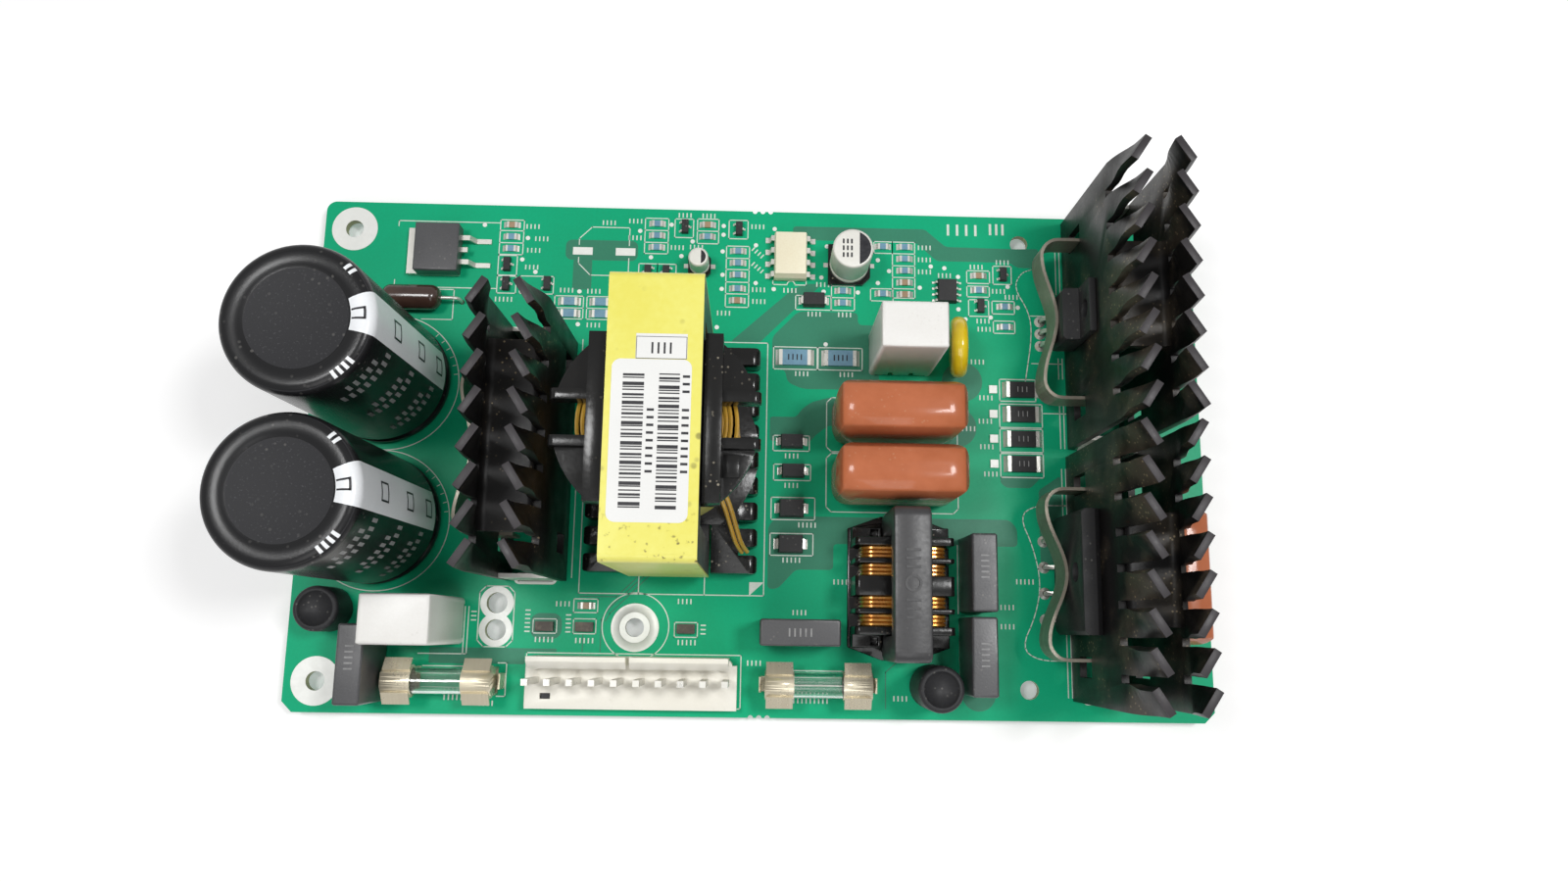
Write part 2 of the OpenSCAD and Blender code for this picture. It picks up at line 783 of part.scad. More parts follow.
// Plates along the bobbin: place along Y and thickness
choke_half = choke_win_l / 2 - choke_gap;
choke_bay = (choke_half - choke_end_t - choke_mid_t / 2 - choke_sep_t) / 2;
choke_sep_y = choke_mid_t / 2 + choke_bay + choke_sep_t / 2;
choke_plates = concat(
    [[0, choke_mid_t]],
    [for (s = [-1, 1]) [s * choke_sep_y, choke_sep_t]],
    [for (s = [-1, 1]) [s * (choke_half - choke_end_t / 2), choke_end_t]]);

// Section of the bobbin round the lower bar of the core
module choke_section(inset) {
    difference() {
        translate([0, choke_bobbin_h / 2])
            round_rect(choke_bobbin_w - 2 * inset, choke_bobbin_h - 2 * inset, 1);
        translate([0, choke_lift + choke_bar / 2])
            square([choke_w + 2 * choke_gap, choke_bar + 2 * choke_gap], center = true);
    }
}

module choke_bobbin() {
    ear_w = choke_bobbin_w / 2 - choke_w / 2 - choke_gap;
    color([0.1, 0.1, 0.1])
    at(choke) {
        for (p = choke_plates)
            translate([0, p[0], 0]) stand_y(p[1]) choke_section(0);
        stand_y(2 * choke_half) difference() {
            translate([0, choke_lift + choke_bar / 2])
                square([choke_w + 2 * choke_gap + 1.2, choke_bar + 2 * choke_gap + 1.2], center = true);
            translate([0, choke_lift + choke_bar / 2])
                square([choke_w + 2 * choke_gap, choke_bar + 2 * choke_gap], center = true);
        }
        linear_extrude(choke_base_t) choke_base();
        for (sx = [-1, 1], sy = [-1, 1])
            translate([sx * (choke_bobbin_w - ear_w) / 2, sy * (choke_half + choke_ear_l / 2 - eps), 0])
                difference() {
                    linear_extrude(choke_ear_h) square([ear_w, choke_ear_l + 2 * eps], center = true);
                    translate([-sx * (ear_w / 2 - choke_pocket), 0, choke_ear_h - 1]) linear_extrude(2)
                        square(choke_pocket, center = true);
                }
    }
}

// Base plate that narrows towards the ends of the ferrite frame
module choke_base() {
    w = choke_bobbin_w / 2 + choke_base_over;
    l = choke_half + choke_ear_l;
    end_w = choke_w / 2;
    end_l = choke_l / 2;
    polygon([
        [-w, -l], [-end_w, -end_l], [end_w, -end_l], [w, -l],
        [w, l], [end_w, end_l], [-end_w, end_l], [-w, l]]);
}

module choke_winding() {
    tube_inset = 0.6 + choke_gap;
    color("peru")
    at(choke) for (s = [-1, 1], c = [choke_mid_t / 2, choke_mid_t / 2 + choke_bay + choke_sep_t])
        translate([0, s * (c + choke_bay / 2), 0]) stand_y(choke_bay) difference() {
            translate([0, choke_bobbin_h / 2])
                round_rect(choke_bobbin_w - 2 * choke_coil_inset, choke_bobbin_h - 2 * choke_coil_inset, 2);
            translate([0, choke_lift + choke_bar / 2])
                square([choke_w + 2 * tube_inset, choke_bar + 2 * tube_inset], center = true);
        }
}

module choke_pins() {
    color("silver") straight_leads(choke_leads, short_tail);
}

// Finger heatsinks

// Share of the full twist that a finger has at share t of its height
function twist_share(t) = t < twist_end ? (1 - cos(180 * t / twist_end)) / 2 : 1;

// Corners of a finger's section at share t of its height, on the wall at side -1 or 1
function fin_ring(t, side) =
    let (a = side * fin_twist * twist_share(t))
    let (shift = -side * fin_lean * t)
    [for (c = [[-1, -1], [1, -1], [1, 1], [-1, 1]])
        let (x = c[0] * wall_t / 2)
        let (y = c[1] * fin_w / 2)
        [x * cos(a) - y * sin(a) + shift, x * sin(a) + y * cos(a), t * fin_h]];

// Twisted finger, lofted through its sections
module finger(side) {
    rings = [for (i = [0:fin_steps]) each fin_ring(i / fin_steps, side)];
    top = 4 * fin_steps;
    sides = [for (k = [0:fin_steps - 1], i = [0:3])
        let (a = 4 * k + i)
        let (b = 4 * k + (i + 1) % 4)
        each [[a, a + 4, b + 4], [a, b + 4, b]]];
    polyhedron(rings, concat([[0, 1, 2, 3], [top + 3, top + 2, top + 1, top]], sides));
}

// Flat wall with slots between its fingers and a slot for each end of a clip
module wall_outline() {
    difference() {
        translate([-sink_l / 2, 0]) square([sink_l, slot_z + fin_root]);
        for (i = [1:fin_count - 1])
            translate([-sink_l / 2 + i * fin_pitch - slot_w, slot_z]) square([slot_w, fin_root + 1]);
        for (s = [-1, 1])
            translate([s * clip_slot_y - clip_slot / 2, clip_z - clip_slot_gap])
                square([clip_slot, clip_w + 2 * clip_slot_gap]);
    }
}

// Web between the walls with filleted edges
module web_outline() {
    difference() {
        translate([-inner_w / 2 - eps, web_top - web_t - web_r])
            square([inner_w + 2 * eps, web_t + 2 * web_r]);
        for (z = [web_top + web_r, web_top - web_t - web_r])
            translate([0, z]) round_rect(inner_w, 2 * web_r, web_r * 0.99);
    }
}

module heatsink(place, turn, inset) {
    color([0.13, 0.13, 0.14])
    at(place) rotate([0, 0, turn]) {
        for (side = [-1, 1]) translate([side * sink_gap / 2, 0, 0]) {
            stand_x(wall_t) wall_outline();
            for (i = [0:fin_count - 1])
                translate([0, -sink_l / 2 + fin_w / 2 + i * fin_pitch, slot_z + fin_root]) finger(side);
        }
        stand_y(sink_l - 2 * inset) web_outline();
    }
}

module heatsink_left() {
    heatsink(sinks[0], 0, web_inset);
}

module heatsink_rear() {
    heatsink(sinks[1], 0, right_web_inset);
}

module heatsink_front() {
    heatsink(sinks[2], 180, right_web_inset);
}

// Plates between the walls' ends, with a leg through the board
module heatsink_tabs() {
    color("tan")
    for (s = sinks, side = [-1, 1])
        at([s[0], s[1] + side * tab_y]) stand_y(tab_t) {
            translate([-inner_w / 2, pad_t]) square([inner_w, tab_plate_h - pad_t]);
            translate([-tab_leg_w / 2, -board_t - lead_tail])
                square([tab_leg_w, board_t + lead_tail + 1]);
        }
}

// Spring clips: u is the distance out from the wall, v the distance along it

function clip_half(press) =
    let (bend_v = clip_span / 2 - clip_r)
    concat(
        [for (i = [0:12])
            [press + (clip_bulge - press) * (1 - cos(180 * i / 12)) / 2, bend_v * i / 12]],
        [for (i = [1:6])
            [clip_bulge - clip_r + clip_r * cos(15 * i), bend_v + clip_r * sin(15 * i)]],
        [[-clip_reach, clip_span / 2]]);
function clip_path(press) =
    let (half = clip_half(press))
    concat(
        [for (i = [len(half) - 1:-1:1]) [half[i][0], -half[i][1]]],
        half);

// Moves its children, drawn in u and v, to the left wall of a heatsink
module on_wall(s) {
    at(s) translate([-wall_x, 0, 0]) mirror([1, 0, 0]) children();
}

module spring_clip(s, thickness) {
    color("darkkhaki")
    on_wall(s) translate([0, 0, clip_z]) linear_extrude(clip_w)
        polygon(strip(clip_path(thickness + clip_t / 2), clip_t));
}

module spring_clip_left() {
    spring_clip(sinks[0], tr_t);
}

module spring_clip_rear() {
    spring_clip(sinks[1], tr_t);
}

module spring_clip_front() {
    spring_clip(sinks[2], bridge_t);
}

// Power devices that the clips hold

module transistor(s) {
    plate_t = 1.3;
    bevel = 0.6;
    color([0.16, 0.16, 0.17])
    on_wall(s) translate([0, 0, tr_lift]) difference() {
        union() {
            linear_extrude(tr_body_h) polygon([
                [0, -tr_w / 2], [tr_t - bevel, -tr_w / 2], [tr_t, -tr_w / 2 + bevel],
                [tr_t, tr_w / 2 - bevel], [tr_t - bevel, tr_w / 2], [0, tr_w / 2]]);
            translate([0, -tr_w / 2, tr_body_h - eps]) cube([plate_t, tr_w, tr_tab_h + eps]);
        }
        translate([-1, 0, tr_body_h + tr_tab_h / 2]) rotate([0, 90, 0]) cylinder(h = plate_t + 2, d = 3.6);
    }
}

module output_rectifier() {
    transistor(sinks[0]);
}

module switch_transistor() {
    transistor(sinks[1]);
}

bridge_lift = 2.5;

module bridge_rectifier() {
    bevel = 0.7;
    color([0.15, 0.15, 0.16])
    on_wall(sinks[2]) translate([0, 0, bridge_lift]) difference() {
        linear_extrude(bridge_h) polygon([
            [0, -bridge_w / 2], [bridge_t - bevel, -bridge_w / 2], [bridge_t, -bridge_w / 2 + bevel],
            [bridge_t, bridge_w / 2 - bevel], [bridge_t - bevel, bridge_w / 2], [0, bridge_w / 2]]);
        translate([-1, 0, bridge_h * 0.75]) rotate([0, 90, 0]) cylinder(h = bridge_t + 2, d = 3.6);
        translate([0, 0, bridge_h]) rotate([0, 45, 0]) cube([1.6, 2 * bridge_w, 1.6], center = true);
    }
}

// Flat leads that step out from a body down to the board
module device_leads() {
    color("silver") {
        for (s = [sinks[0], sinks[1]])
            stepped_leads(s, tr_pitch, 3, tr_t * 0.6, tr_lift, 0);
        stepped_leads(sinks[2], bridge_pitch, 4, bridge_t / 2, bridge_lift, bridge_lead_shift);
    }
}

module stepped_leads(s, pitch, count, root_u, root_z, shift) {
    lead_w = 0.8;
    lead_t = 0.5;
    path = [
        [root_u, root_z], [root_u, root_z * 0.75], [device_foot_u, root_z * 0.4],
        [device_foot_u, -board_t - short_tail]];
    on_wall(s) for (i = [0:count - 1])
        translate([0, shift + (i - (count - 1) / 2) * pitch, 0]) stand_y(lead_w) polygon(strip(path, lead_t));
}

// Film, box and white capacitors

// Dipped upright body with coating run down its two leads
module film_capacitor(p) {
    w = p[3];
    color("sienna")
    at(p) rotate([0, 0, p[2]]) {
        translate([0, 0, film_lift]) intersection() {
            linear_extrude(film_h) round_rect(film_l, w, w * 0.38);
            stand_y(w) translate([0, film_h / 2]) round_rect(film_l, film_h, film_round);
            stand_x(film_l) translate([0, film_h / 2]) round_rect(w, film_h, w * 0.44);
        }
        for (s = [-1, 1])
            translate([s * film_pitch / 2, 0, 0]) round_pin(boot_d, boot_z, film_lift + 2);
    }
}

module film_capacitor_1() {
    film_capacitor(film_places[0]);
}

module film_capacitor_2() {
    film_capacitor(film_places[1]);
}

module film_capacitor_3() {
    film_capacitor(film_places[2]);
}

// Box with stand-off feet at its corners
module footed_box(l, w, h, r) {
    difference() {
        soft_block(l, w, h, r);
        translate([0, 0, -1]) linear_extrude(1 + box_foot) {
            square([l - 2 * foot_l, w + 2], center = true);
            square([l + 2, w - 2 * foot_l], center = true);
        }
    }
}

module box_capacitor(p, l, w, h) {
    color([0.2, 0.2, 0.22])
    at(p) rotate([0, 0, p[2]]) footed_box(l, w, h, 0.5);
}

module box_capacitor_1() {
    box_capacitor(box_places[0], box_l, box_w, box_h);
}

module box_capacitor_2() {
    box_capacitor(box_places[1], box_l, box_w, box_h);
}

module box_capacitor_3() {
    box_capacitor(box_places[2], box_l, box_w, box_h);
}

module box_capacitor_4() {
    box_capacitor(box_places[3], low_box_l, low_box_w, low_box_h);
}

// White box with a key slot across the lower edge of its front and rear faces
module white_capacitor(p) {
    key_w = 1;
    key_h = 2.4;
    color("white")
    at(p) difference() {
        footed_box(white_l, white_w, white_h, 0.8);
        for (s = [-1, 1], x = [-white_l / 6, white_l / 6])
            translate([x - key_w / 2, s * white_w / 2 - key_w / 2, -1]) cube([key_w, key_w, key_h + 1]);
    }
}

module white_capacitor_1() {
    white_capacitor(white_places[0]);
}

module white_capacitor_2() {
    white_capacitor(white_places[1]);
}

// Small wired parts

// Coated disc on edge, leaning, with coating run down its two leads
module disc_capacitor() {
    color("gold")
    at(disc_place) {
        translate([0, 0, disc_lift]) rotate([0, disc_lean, 0]) translate([0, 0, disc_d / 2])
            rotate([0, 90, 0]) rotate_extrude() intersection() {
                round_rect(disc_d, disc_t, disc_t * 0.45);
                translate([0, -disc_t]) square([disc_d, 2 * disc_t]);
            }
        for (s = [-1, 1])
            translate([0, s * disc_pitch / 2, 0]) round_pin(boot_d, disc_lift, disc_lift + disc_d * 0.24);
    }
}

// Drum inductor in a shrunk sleeve whose lip stands above the core
module sleeved_inductor(p, h) {
    lip = 0.6;
    color([0.1, 0.1, 0.1])
    at(p) rotate_extrude() difference() {
        intersection() {
            translate([0, h / 2]) round_rect(drum_d, h, 0.8);
            square([drum_d, h]);
        }
        translate([0, h - lip]) square([drum_d / 2 - 1, lip + 1]);
    }
}

module sleeved_inductor_1() {
    sleeved_inductor(drum_places[0], drum_h);
}

module sleeved_inductor_2() {
    sleeved_inductor(drum_places[1], low_drum_h);
}

axial_z = axial_d / 2 + 0.2;

// Dipped body lying along X
module axial_inductor() {
    color("saddlebrown")
    at(axial_place) translate([0, 0, axial_z]) rotate([0, 90, 0]) rotate_extrude() intersection() {
        round_rect(axial_d, axial_l, axial_d * 0.38);
        translate([0, -axial_l]) square([axial_d, 2 * axial_l]);
    }
}

// Leads of the small wired parts, from the underside of each body
module component_leads() {
    color("silver") {
        straight_leads(small_leads, short_tail);
        at(axial_place) for (s = [-1, 1]) mirror([s < 0 ? 1 : 0, 0, 0]) axial_lead();
    }
}

// Lead that leaves the axial body level and turns down through the board
module axial_lead() {
    bend_r = 1.2;
    x1 = axial_pitch / 2;
    translate([axial_l / 2, 0, axial_z]) rotate([0, 90, 0])
        cylinder(h = x1 - axial_l / 2 - bend_r, d = axial_lead_d);
    translate([x1 - bend_r, 0, axial_z - bend_r]) rotate([90, 0, 0])
        rotate_extrude(angle = 90) translate([bend_r, 0]) circle(d = axial_lead_d, $fn = 24);
    translate([x1, 0, 0]) round_pin(axial_lead_d, -board_t - short_tail, axial_z - bend_r);
}

// Glass fuses in their clips

// Draws its children at each fuse, with X along the fuse's axis
module each_fuse() {
    for (p = fuse_places)
        at(p) translate([0, 0, fuse_z]) children();
}

// Tube along X between two places
module along_x(x0, x1) {
    translate([x0, 0, 0]) rotate([0, 90, 0]) linear_extrude(x1 - x0) children();
}

module fuse_tubes() {
    inner = fuse_l / 2 - fuse_wall;
    color([0.8, 0.9, 0.9, 0.4])
    each_fuse() along_x(-inner, inner) difference() {
        circle(d = glass_d);
        circle(d = glass_bore);
    }
}

module fuse_caps() {
    color("silver")
    each_fuse() for (s = [0, 1]) mirror([s, 0, 0]) {
        along_x(fuse_l / 2 - fuse_cap_l, fuse_l / 2) difference() {
            circle(d = fuse_d);
            circle(d = glass_d);
        }
        along_x(fuse_l / 2 - fuse_wall, fuse_l / 2) circle(d = fuse_d);
    }
}

module fuse_wires() {
    inner = fuse_l / 2 - fuse_wall;
    color("silver")
    each_fuse() along_x(-inner, inner) circle(d = fuse_wire_d, $fn = 24);
}

// Spring clip that hugs an end cap, with flared lips, a foot and two legs
module fuse_clip_outline() {
    r = fuse_d / 2;
    difference() {
        union() {
            circle(r + fuse_clip_t);
            translate([-r, -fuse_z]) square([2 * r, fuse_z - r * 0.6]);
        }
        circle(r);
        translate([-r + fuse_clip_t, -fuse_z + fuse_clip_t])
            square([2 * (r - fuse_clip_t), fuse_z - r - 2 * fuse_clip_t]);
        polygon([[0, 0], [-4 * r * sin(lip_open), 4 * r * cos(lip_open)],
            [4 * r * sin(lip_open), 4 * r * cos(lip_open)]]);
    }
    for (s = [-1, 1])
        rotate(-s * lip_open) translate([0, r]) mirror([s < 0 ? 1 : 0, 0]) rotate(lip_flare)
            square([lip_l, fuse_clip_t]);
}

module fuse_clips() {
    stop_h = fuse_d * 0.8;
    stop_gap = 0.7;
    color("lightgrey")
    for (p = fuse_places, s = [0, 1]) at(p) mirror([s, 0, 0]) translate([fuse_clip_x, 0, 0]) {
        translate([0, 0, fuse_z]) stand_x(fuse_clip_l) fuse_clip_outline();
        translate([0, -1.4, 0]) cube([fuse_cap_l / 2 + stop_gap, 2.8, fuse_clip_t]);
        translate([fuse_cap_l / 2 + stop_gap, -1.4, 0]) cube([fuse_clip_t, 2.8, stop_h + fuse_clip_t]);
        for (y = [-1, 1])
            translate([0, y * fuse_leg_y, 0]) round_pin(fuse_leg_d, -board_t - short_tail, fuse_clip_t);
    }
}

// Header

// Base with a locking wall at the rear that has a slit in its middle
module header_housing() {
    x0 = -pin_pitch / 2;
    color("ivory")
    at(header_pin_1) difference() {
        union() {
            translate([x0, -wafer_front, 0]) cube([wafer_l, wafer_d - lock_t, wafer_t]);
            translate([x0 + wafer_l / 2, 0, 0]) stand_x(wafer_l - 2 * lock_end) lock_outline();
            for (i = [0:pin_count - 1])
                translate([i * pin_pitch, wafer_d - wafer_front - lock_t, 0])
                    cylinder(h = wafer_t + 1.6, r = 1.1);
        }
        for (i = [0:pin_count - 1])
            translate([i * pin_pitch - pin_w / 2, -pin_w / 2, -1]) cube([pin_w, pin_w, wafer_t + 2]);
        translate([x0 + wafer_l / 2 - lock_slit / 2, wafer_d - wafer_front - lock_t - 2, wafer_t + 2])
            cube([lock_slit, lock_t + 4, lock_h]);
        translate([0.8, -3.5, wafer_t - 1.6]) cube([2, 1.1, 2]);
    }
}

// Locking wall seen from its end, with a sloped lip at its top
module lock_outline() {
    rear = wafer_d - wafer_front;
    polygon([
        [rear - lock_t, 0], [rear, 0], [rear, lock_h], [rear - lock_t * 0.6, lock_h],
        [rear - lock_t - 0.7, lock_h - 2], [rear - lock_t, lock_h - 3]]);
}

module header_pins() {
    color("silver")
    for (p = header_leads)
        at(p) translate([-pin_w / 2, -pin_w / 2, -board_t - lead_tail])
            cube([pin_w, pin_w, board_t + lead_tail + pin_h]);
}

// Thyristor

module thyristor_body() {
    color([0.2, 0.2, 0.2])
    at(scr_place) difference() {
        translate([0, 0, eps]) soft_block(scr_l, scr_w, scr_h, 0.4);
        translate([-scr_l, -scr_w, -1]) cube([2 * scr_l, 2 * scr_w, 1 + scr_tab_t]);
    }
}

// Metal tab under the body, two formed leads and a cut middle lead
module thyristor_metal() {
    lead_w = 1;
    lead_t = 0.5;
    root_z = scr_tab_t + 1;
    path = [
        [scr_l / 2, root_z], [scr_l / 2 + 1.6, root_z], [scr_l / 2 + 2.6, lead_t / 2],
        [scr_l / 2 + scr_lead_l, lead_t / 2]];
    color("silver")
    at(scr_place) {
        linear_extrude(scr_tab_t) translate([-scr_tab_l / 2, 0])
            square([scr_l + scr_tab_l - 1, scr_w - 0.4], center = true);
        for (s = [-1, 1])
            translate([0, s * scr_pitch / 2, 0]) stand_y(lead_w) polygon(strip(path, lead_t));
        translate([scr_l / 2, -lead_w / 2, root_z - lead_t / 2]) cube([1.4, lead_w, lead_t]);
    }
}

// Surface-mount chips

// Moulded body with sloped sides, lifted off the board
module moulded_body(size, lift) {
    taper = 0.92;
    h = size[2];
    translate([0, 0, lift]) {
        linear_extrude(h / 2 + eps) square([size[0], size[1]], center = true);
        translate([0, 0, h / 2]) linear_extrude(h / 2, scale = taper)
            square([size[0], size[1]], center = true);
    }
}

module optocoupler() {
    color("wheat") at(opto_place) moulded_body(opto_body, 2 * chip_lift);
}

module moulded_chips() {
    color([0.18, 0.18, 0.18]) {
        at(soic_place) moulded_body(soic_body, chip_lift);
        for (p = sot_places)
            at(p) moulded_body(sot_body, chip_lift);
        for (p = diode_places)
            at(p) moulded_body(diode_body, chip_lift);
        for (p = zener_places)
            at(p) moulded_body(zener_body, chip_lift);
    }
}

// Gull lead from the side of a body, along +X, at y = 0
module gull_lead(root_x, root_z, toe_x, w, t) {
    knee = root_x + (toe_x - root_x) * 0.3;
    heel = root_x + (toe_x - root_x) * 0.5;
    path = [[root_x, root_z], [knee, root_z], [heel, t / 2], [toe_x, t / 2]];
    stand_y(w) polygon(strip(path, t));
}

// Folded lead under the end of a diode body
module fold_lead(body, foot) {
    t = 0.2;
    w = body[1] * 0.55;
    path = [
        [body[0] / 2, chip_lift + body[2] * 0.4], [body[0] / 2 + 0.3, chip_lift + body[2] * 0.4],
        [body[0] / 2 + 0.3, t / 2], [body[0] / 2 + foot, t / 2]];
    stand_y(w) polygon(strip(path, t));
}

module chip_leads() {
    color("silver") {
        for (s = [0, 1], i = [0:3]) {
            at(soic_place) translate([0, (i - 1.5) * soic_pitch, 0]) mirror([s, 0, 0])
                gull_lead(soic_body[0] / 2, chip_lift + soic_body[2] * 0.4, soic_span / 2, 0.42, 0.2);
            at(opto_place) translate([0, (i - 1.5) * opto_pitch, 0]) mirror([s, 0, 0])
                gull_lead(opto_body[0] / 2, 2 * chip_lift + opto_body[2] * 0.4, opto_span / 2, 1.1, 0.25);
        }
        for (p = sot_places) at(p) mirror([p[2] < 0 ? 1 : 0, 0, 0]) {
            gull_lead(sot_body[0] / 2, chip_lift + sot_body[2] * 0.4, sot_span / 2, 0.45, 0.15);
            for (y = [-1, 1])
                translate([0, y * sot_pitch / 2, 0]) mirror([1, 0, 0])
                    gull_lead(sot_body[0] / 2, chip_lift + sot_body[2] * 0.4, sot_span / 2, 0.45, 0.15);
        }
        for (p = diode_places, s = [0, 1])
            at(p) mirror([s, 0, 0]) fold_lead(diode_body, diode_foot);
        for (p = zener_places, s = [0, 1])
            at(p) mirror([s, 0, 0]) fold_lead(zener_body, diode_foot);
        for (c = cans, s = [0, 1])
            at(c[0]) mirror([s, 0, 0]) translate([c[1] / 2 + can_base_rim, -0.45, 0]) cube([0.9, 0.9, 0.3]);
    }
}

// Can capacitors: place, diameter and height
cans = [[can_place, can_d, can_h], [small_can_place, small_can_d, small_can_h]];

module can_capacitors() {
    edge = 0.5;
    color("silver")
    for (c = cans)
        at(c[0]) translate([0, 0, can_base_t]) rotate_extrude() difference() {
            intersection() {
                translate([0, c[2] / 2 - edge]) round_rect(c[1], c[2] + 2 * edge, edge);
                square([c[1], c[2]]);
            }
            translate([c[1] / 2 + 0.35, c[2] * 0.16]) circle(0.6);
        }
}

// Square base with two cut corners under each can
module can_bases() {
    color([0.12, 0.12, 0.12])
    for (c = cans) {
        half = c[1] / 2 + can_base_rim;
        cut = c[1] * 0.2;
        at(c[0]) linear_extrude(can_base_t) polygon([
            [-half, -half], [half - cut, -half], [half, -half + cut],
            [half, half - cut], [half - cut, half], [-half, half]]);
    }
}

// Places of one kind of small chip in the columns
function chips_of(kind) =
    [for (c = chip_columns, i = [0:len(c[2]) - 1])
        if (c[2][i] == kind) [c[0], c[1] - i * chip_pitch]];

// Chip body between its metal ends
module chip_body(pack) {
    linear_extrude(pack[2]) square([pack[0] - 2 * pack[3], pack[1]], center = true);
}

// Metal end of a chip with its solder toe
module chip_end(pack) {
    x = pack[0] / 2;
    stand_y(pack[1]) polygon([
        [x - pack[3], 0], [x + solder_toe, 0], [x + solder_toe * 0.5, pack[2] * 0.3],
        [x, pack[2] * 0.95], [x - pack[3], pack[2] * 0.95]]);
}

module resistor_chips() {
    color("steelblue") {
        for (p = chips_of("r"))
            at(p) chip_body(pack_0805);
        for (p = long_chips)
            at(p) chip_body(pack_1206);
        for (p = power_chips)
            at(p) chip_body(pack_2512);
    }
}

module capacitor_chips() {
    color("tan")
    for (p = chips_of("c"))
        at(p) chip_body(pack_0805);
}

module sense_resistors() {
    color([0.12, 0.12, 0.12])
    for (p = sense_places)
        at(p) chip_body(sense_pack);
}

module chip_ends() {
    color("silver") for (s = [0, 1]) {
        for (p = concat(chips_of("r"), chips_of("c")))
            at(p) mirror([s, 0, 0]) chip_end(pack_0805);
        for (p = long_chips)
            at(p) mirror([s, 0, 0]) chip_end(pack_1206);
        for (p = power_chips)
            at(p) mirror([s, 0, 0]) chip_end(pack_2512);
        for (p = sense_places)
            at(p) mirror([s, 0, 0]) chip_end(sense_pack);
    }
}

// Formed metal strap with two feet
module test_points() {
    l = test_size[0];
    h = test_size[2];
    color("rosybrown")
    for (p = test_places)
        at(p) stand_y(test_size[1]) difference() {
            translate([-l / 2, 0]) square([l, h]);
            translate([-l / 2 + 0.9, -1]) square([l - 1.8, h + 1 - test_t]);
        }
}

board();
tinned_pads();
ground_eyelet();
solder_joints();
bulk_capacitor_1();
bulk_capacitor_2();
bulk_terminals();
transformer_core();
transformer_bobbin();
transformer_winding();
transformer_tape();
transformer_labels();
transformer_pins();
choke_core();
choke_bobbin();
choke_winding();
choke_pins();
heatsink_left();
heatsink_rear();
heatsink_front();
heatsink_tabs();
spring_clip_left();
spring_clip_rear();
spring_clip_front();
output_rectifier();
switch_transistor();
bridge_rectifier();
device_leads();
film_capacitor_1();
film_capacitor_2();
film_capacitor_3();
box_capacitor_1();
box_capacitor_2();
box_capacitor_3();
box_capacitor_4();
white_capacitor_1();
white_capacitor_2();
disc_capacitor();
sleeved_inductor_1();
sleeved_inductor_2();
axial_inductor();
component_leads();
fuse_tubes();
fuse_caps();
fuse_wires();
fuse_clips();
header_housing();
header_pins();
thyristor_body();
thyristor_metal();
optocoupler();
moulded_chips();
chip_leads();
can_capacitors();
can_bases();
resistor_chips();
capacitor_chips();
chip_ends();
sense_resistors();
test_points();
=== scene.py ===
import json
import math

import bmesh
import bpy
from mathutils import Matrix, Vector


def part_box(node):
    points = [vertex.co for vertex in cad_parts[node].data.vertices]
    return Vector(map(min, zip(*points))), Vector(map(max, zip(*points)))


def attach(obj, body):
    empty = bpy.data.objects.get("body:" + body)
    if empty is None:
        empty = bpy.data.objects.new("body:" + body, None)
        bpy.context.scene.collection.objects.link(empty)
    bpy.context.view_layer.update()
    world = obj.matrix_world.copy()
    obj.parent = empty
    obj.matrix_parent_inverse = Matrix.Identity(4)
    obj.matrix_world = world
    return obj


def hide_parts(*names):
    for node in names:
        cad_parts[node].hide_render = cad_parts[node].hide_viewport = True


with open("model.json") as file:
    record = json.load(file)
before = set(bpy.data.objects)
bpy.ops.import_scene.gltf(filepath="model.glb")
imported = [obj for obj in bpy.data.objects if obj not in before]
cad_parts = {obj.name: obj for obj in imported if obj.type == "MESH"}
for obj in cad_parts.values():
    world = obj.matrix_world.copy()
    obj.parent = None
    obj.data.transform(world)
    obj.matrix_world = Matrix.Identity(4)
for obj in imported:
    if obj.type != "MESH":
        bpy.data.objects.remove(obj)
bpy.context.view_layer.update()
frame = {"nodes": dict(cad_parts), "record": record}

# Lengths are written in millimetres. Places on the board are measured from its
# front left corner and heights from its top face, as in the part's source.
MM = 0.001
BOARD_T = 1.6
DATUM = (74.0, 50.8)


def spot(x, y, z=0.0):
    """A place on the board, in the frame, in metres."""
    return Vector(((x - DATUM[0]) * MM, (y - DATUM[1]) * MM, (z + BOARD_T) * MM))


def top_of(node):
    """The height of a CAD node's top over the board."""
    return max(corner[2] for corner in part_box(node)) / MM - BOARD_T


def shared_group(name, inputs, outputs):
    """An empty shader group with named sockets, and its two end nodes."""
    tree = bpy.data.node_groups.new(name, "ShaderNodeTree")
    for label, kind, value in inputs:
        socket = tree.interface.new_socket(label, in_out="INPUT", socket_type=kind)
        socket.default_value = value
    for label, kind in outputs:
        tree.interface.new_socket(label, in_out="OUTPUT", socket_type=kind)
    return tree, tree.nodes.new("NodeGroupInput"), tree.nodes.new("NodeGroupOutput")


def feed(tree, socket, value):
    """Links a socket to another, or sets its plain value."""
    if isinstance(value, bpy.types.NodeSocket):
        tree.links.new(value, socket)
    elif isinstance(value, tuple):
        socket.default_value = (*value, 1.0)
    else:
        socket.default_value = value


def add_math(tree, operation, a, b=None, clamp=False):
    """A Math node fed by sockets or plain numbers; gives its output."""
    node = tree.nodes.new("ShaderNodeMath")
    node.operation = operation
    node.use_clamp = clamp
    feed(tree, node.inputs[0], a)
    if b is not None:
        feed(tree, node.inputs[1], b)
    return node.outputs[0]


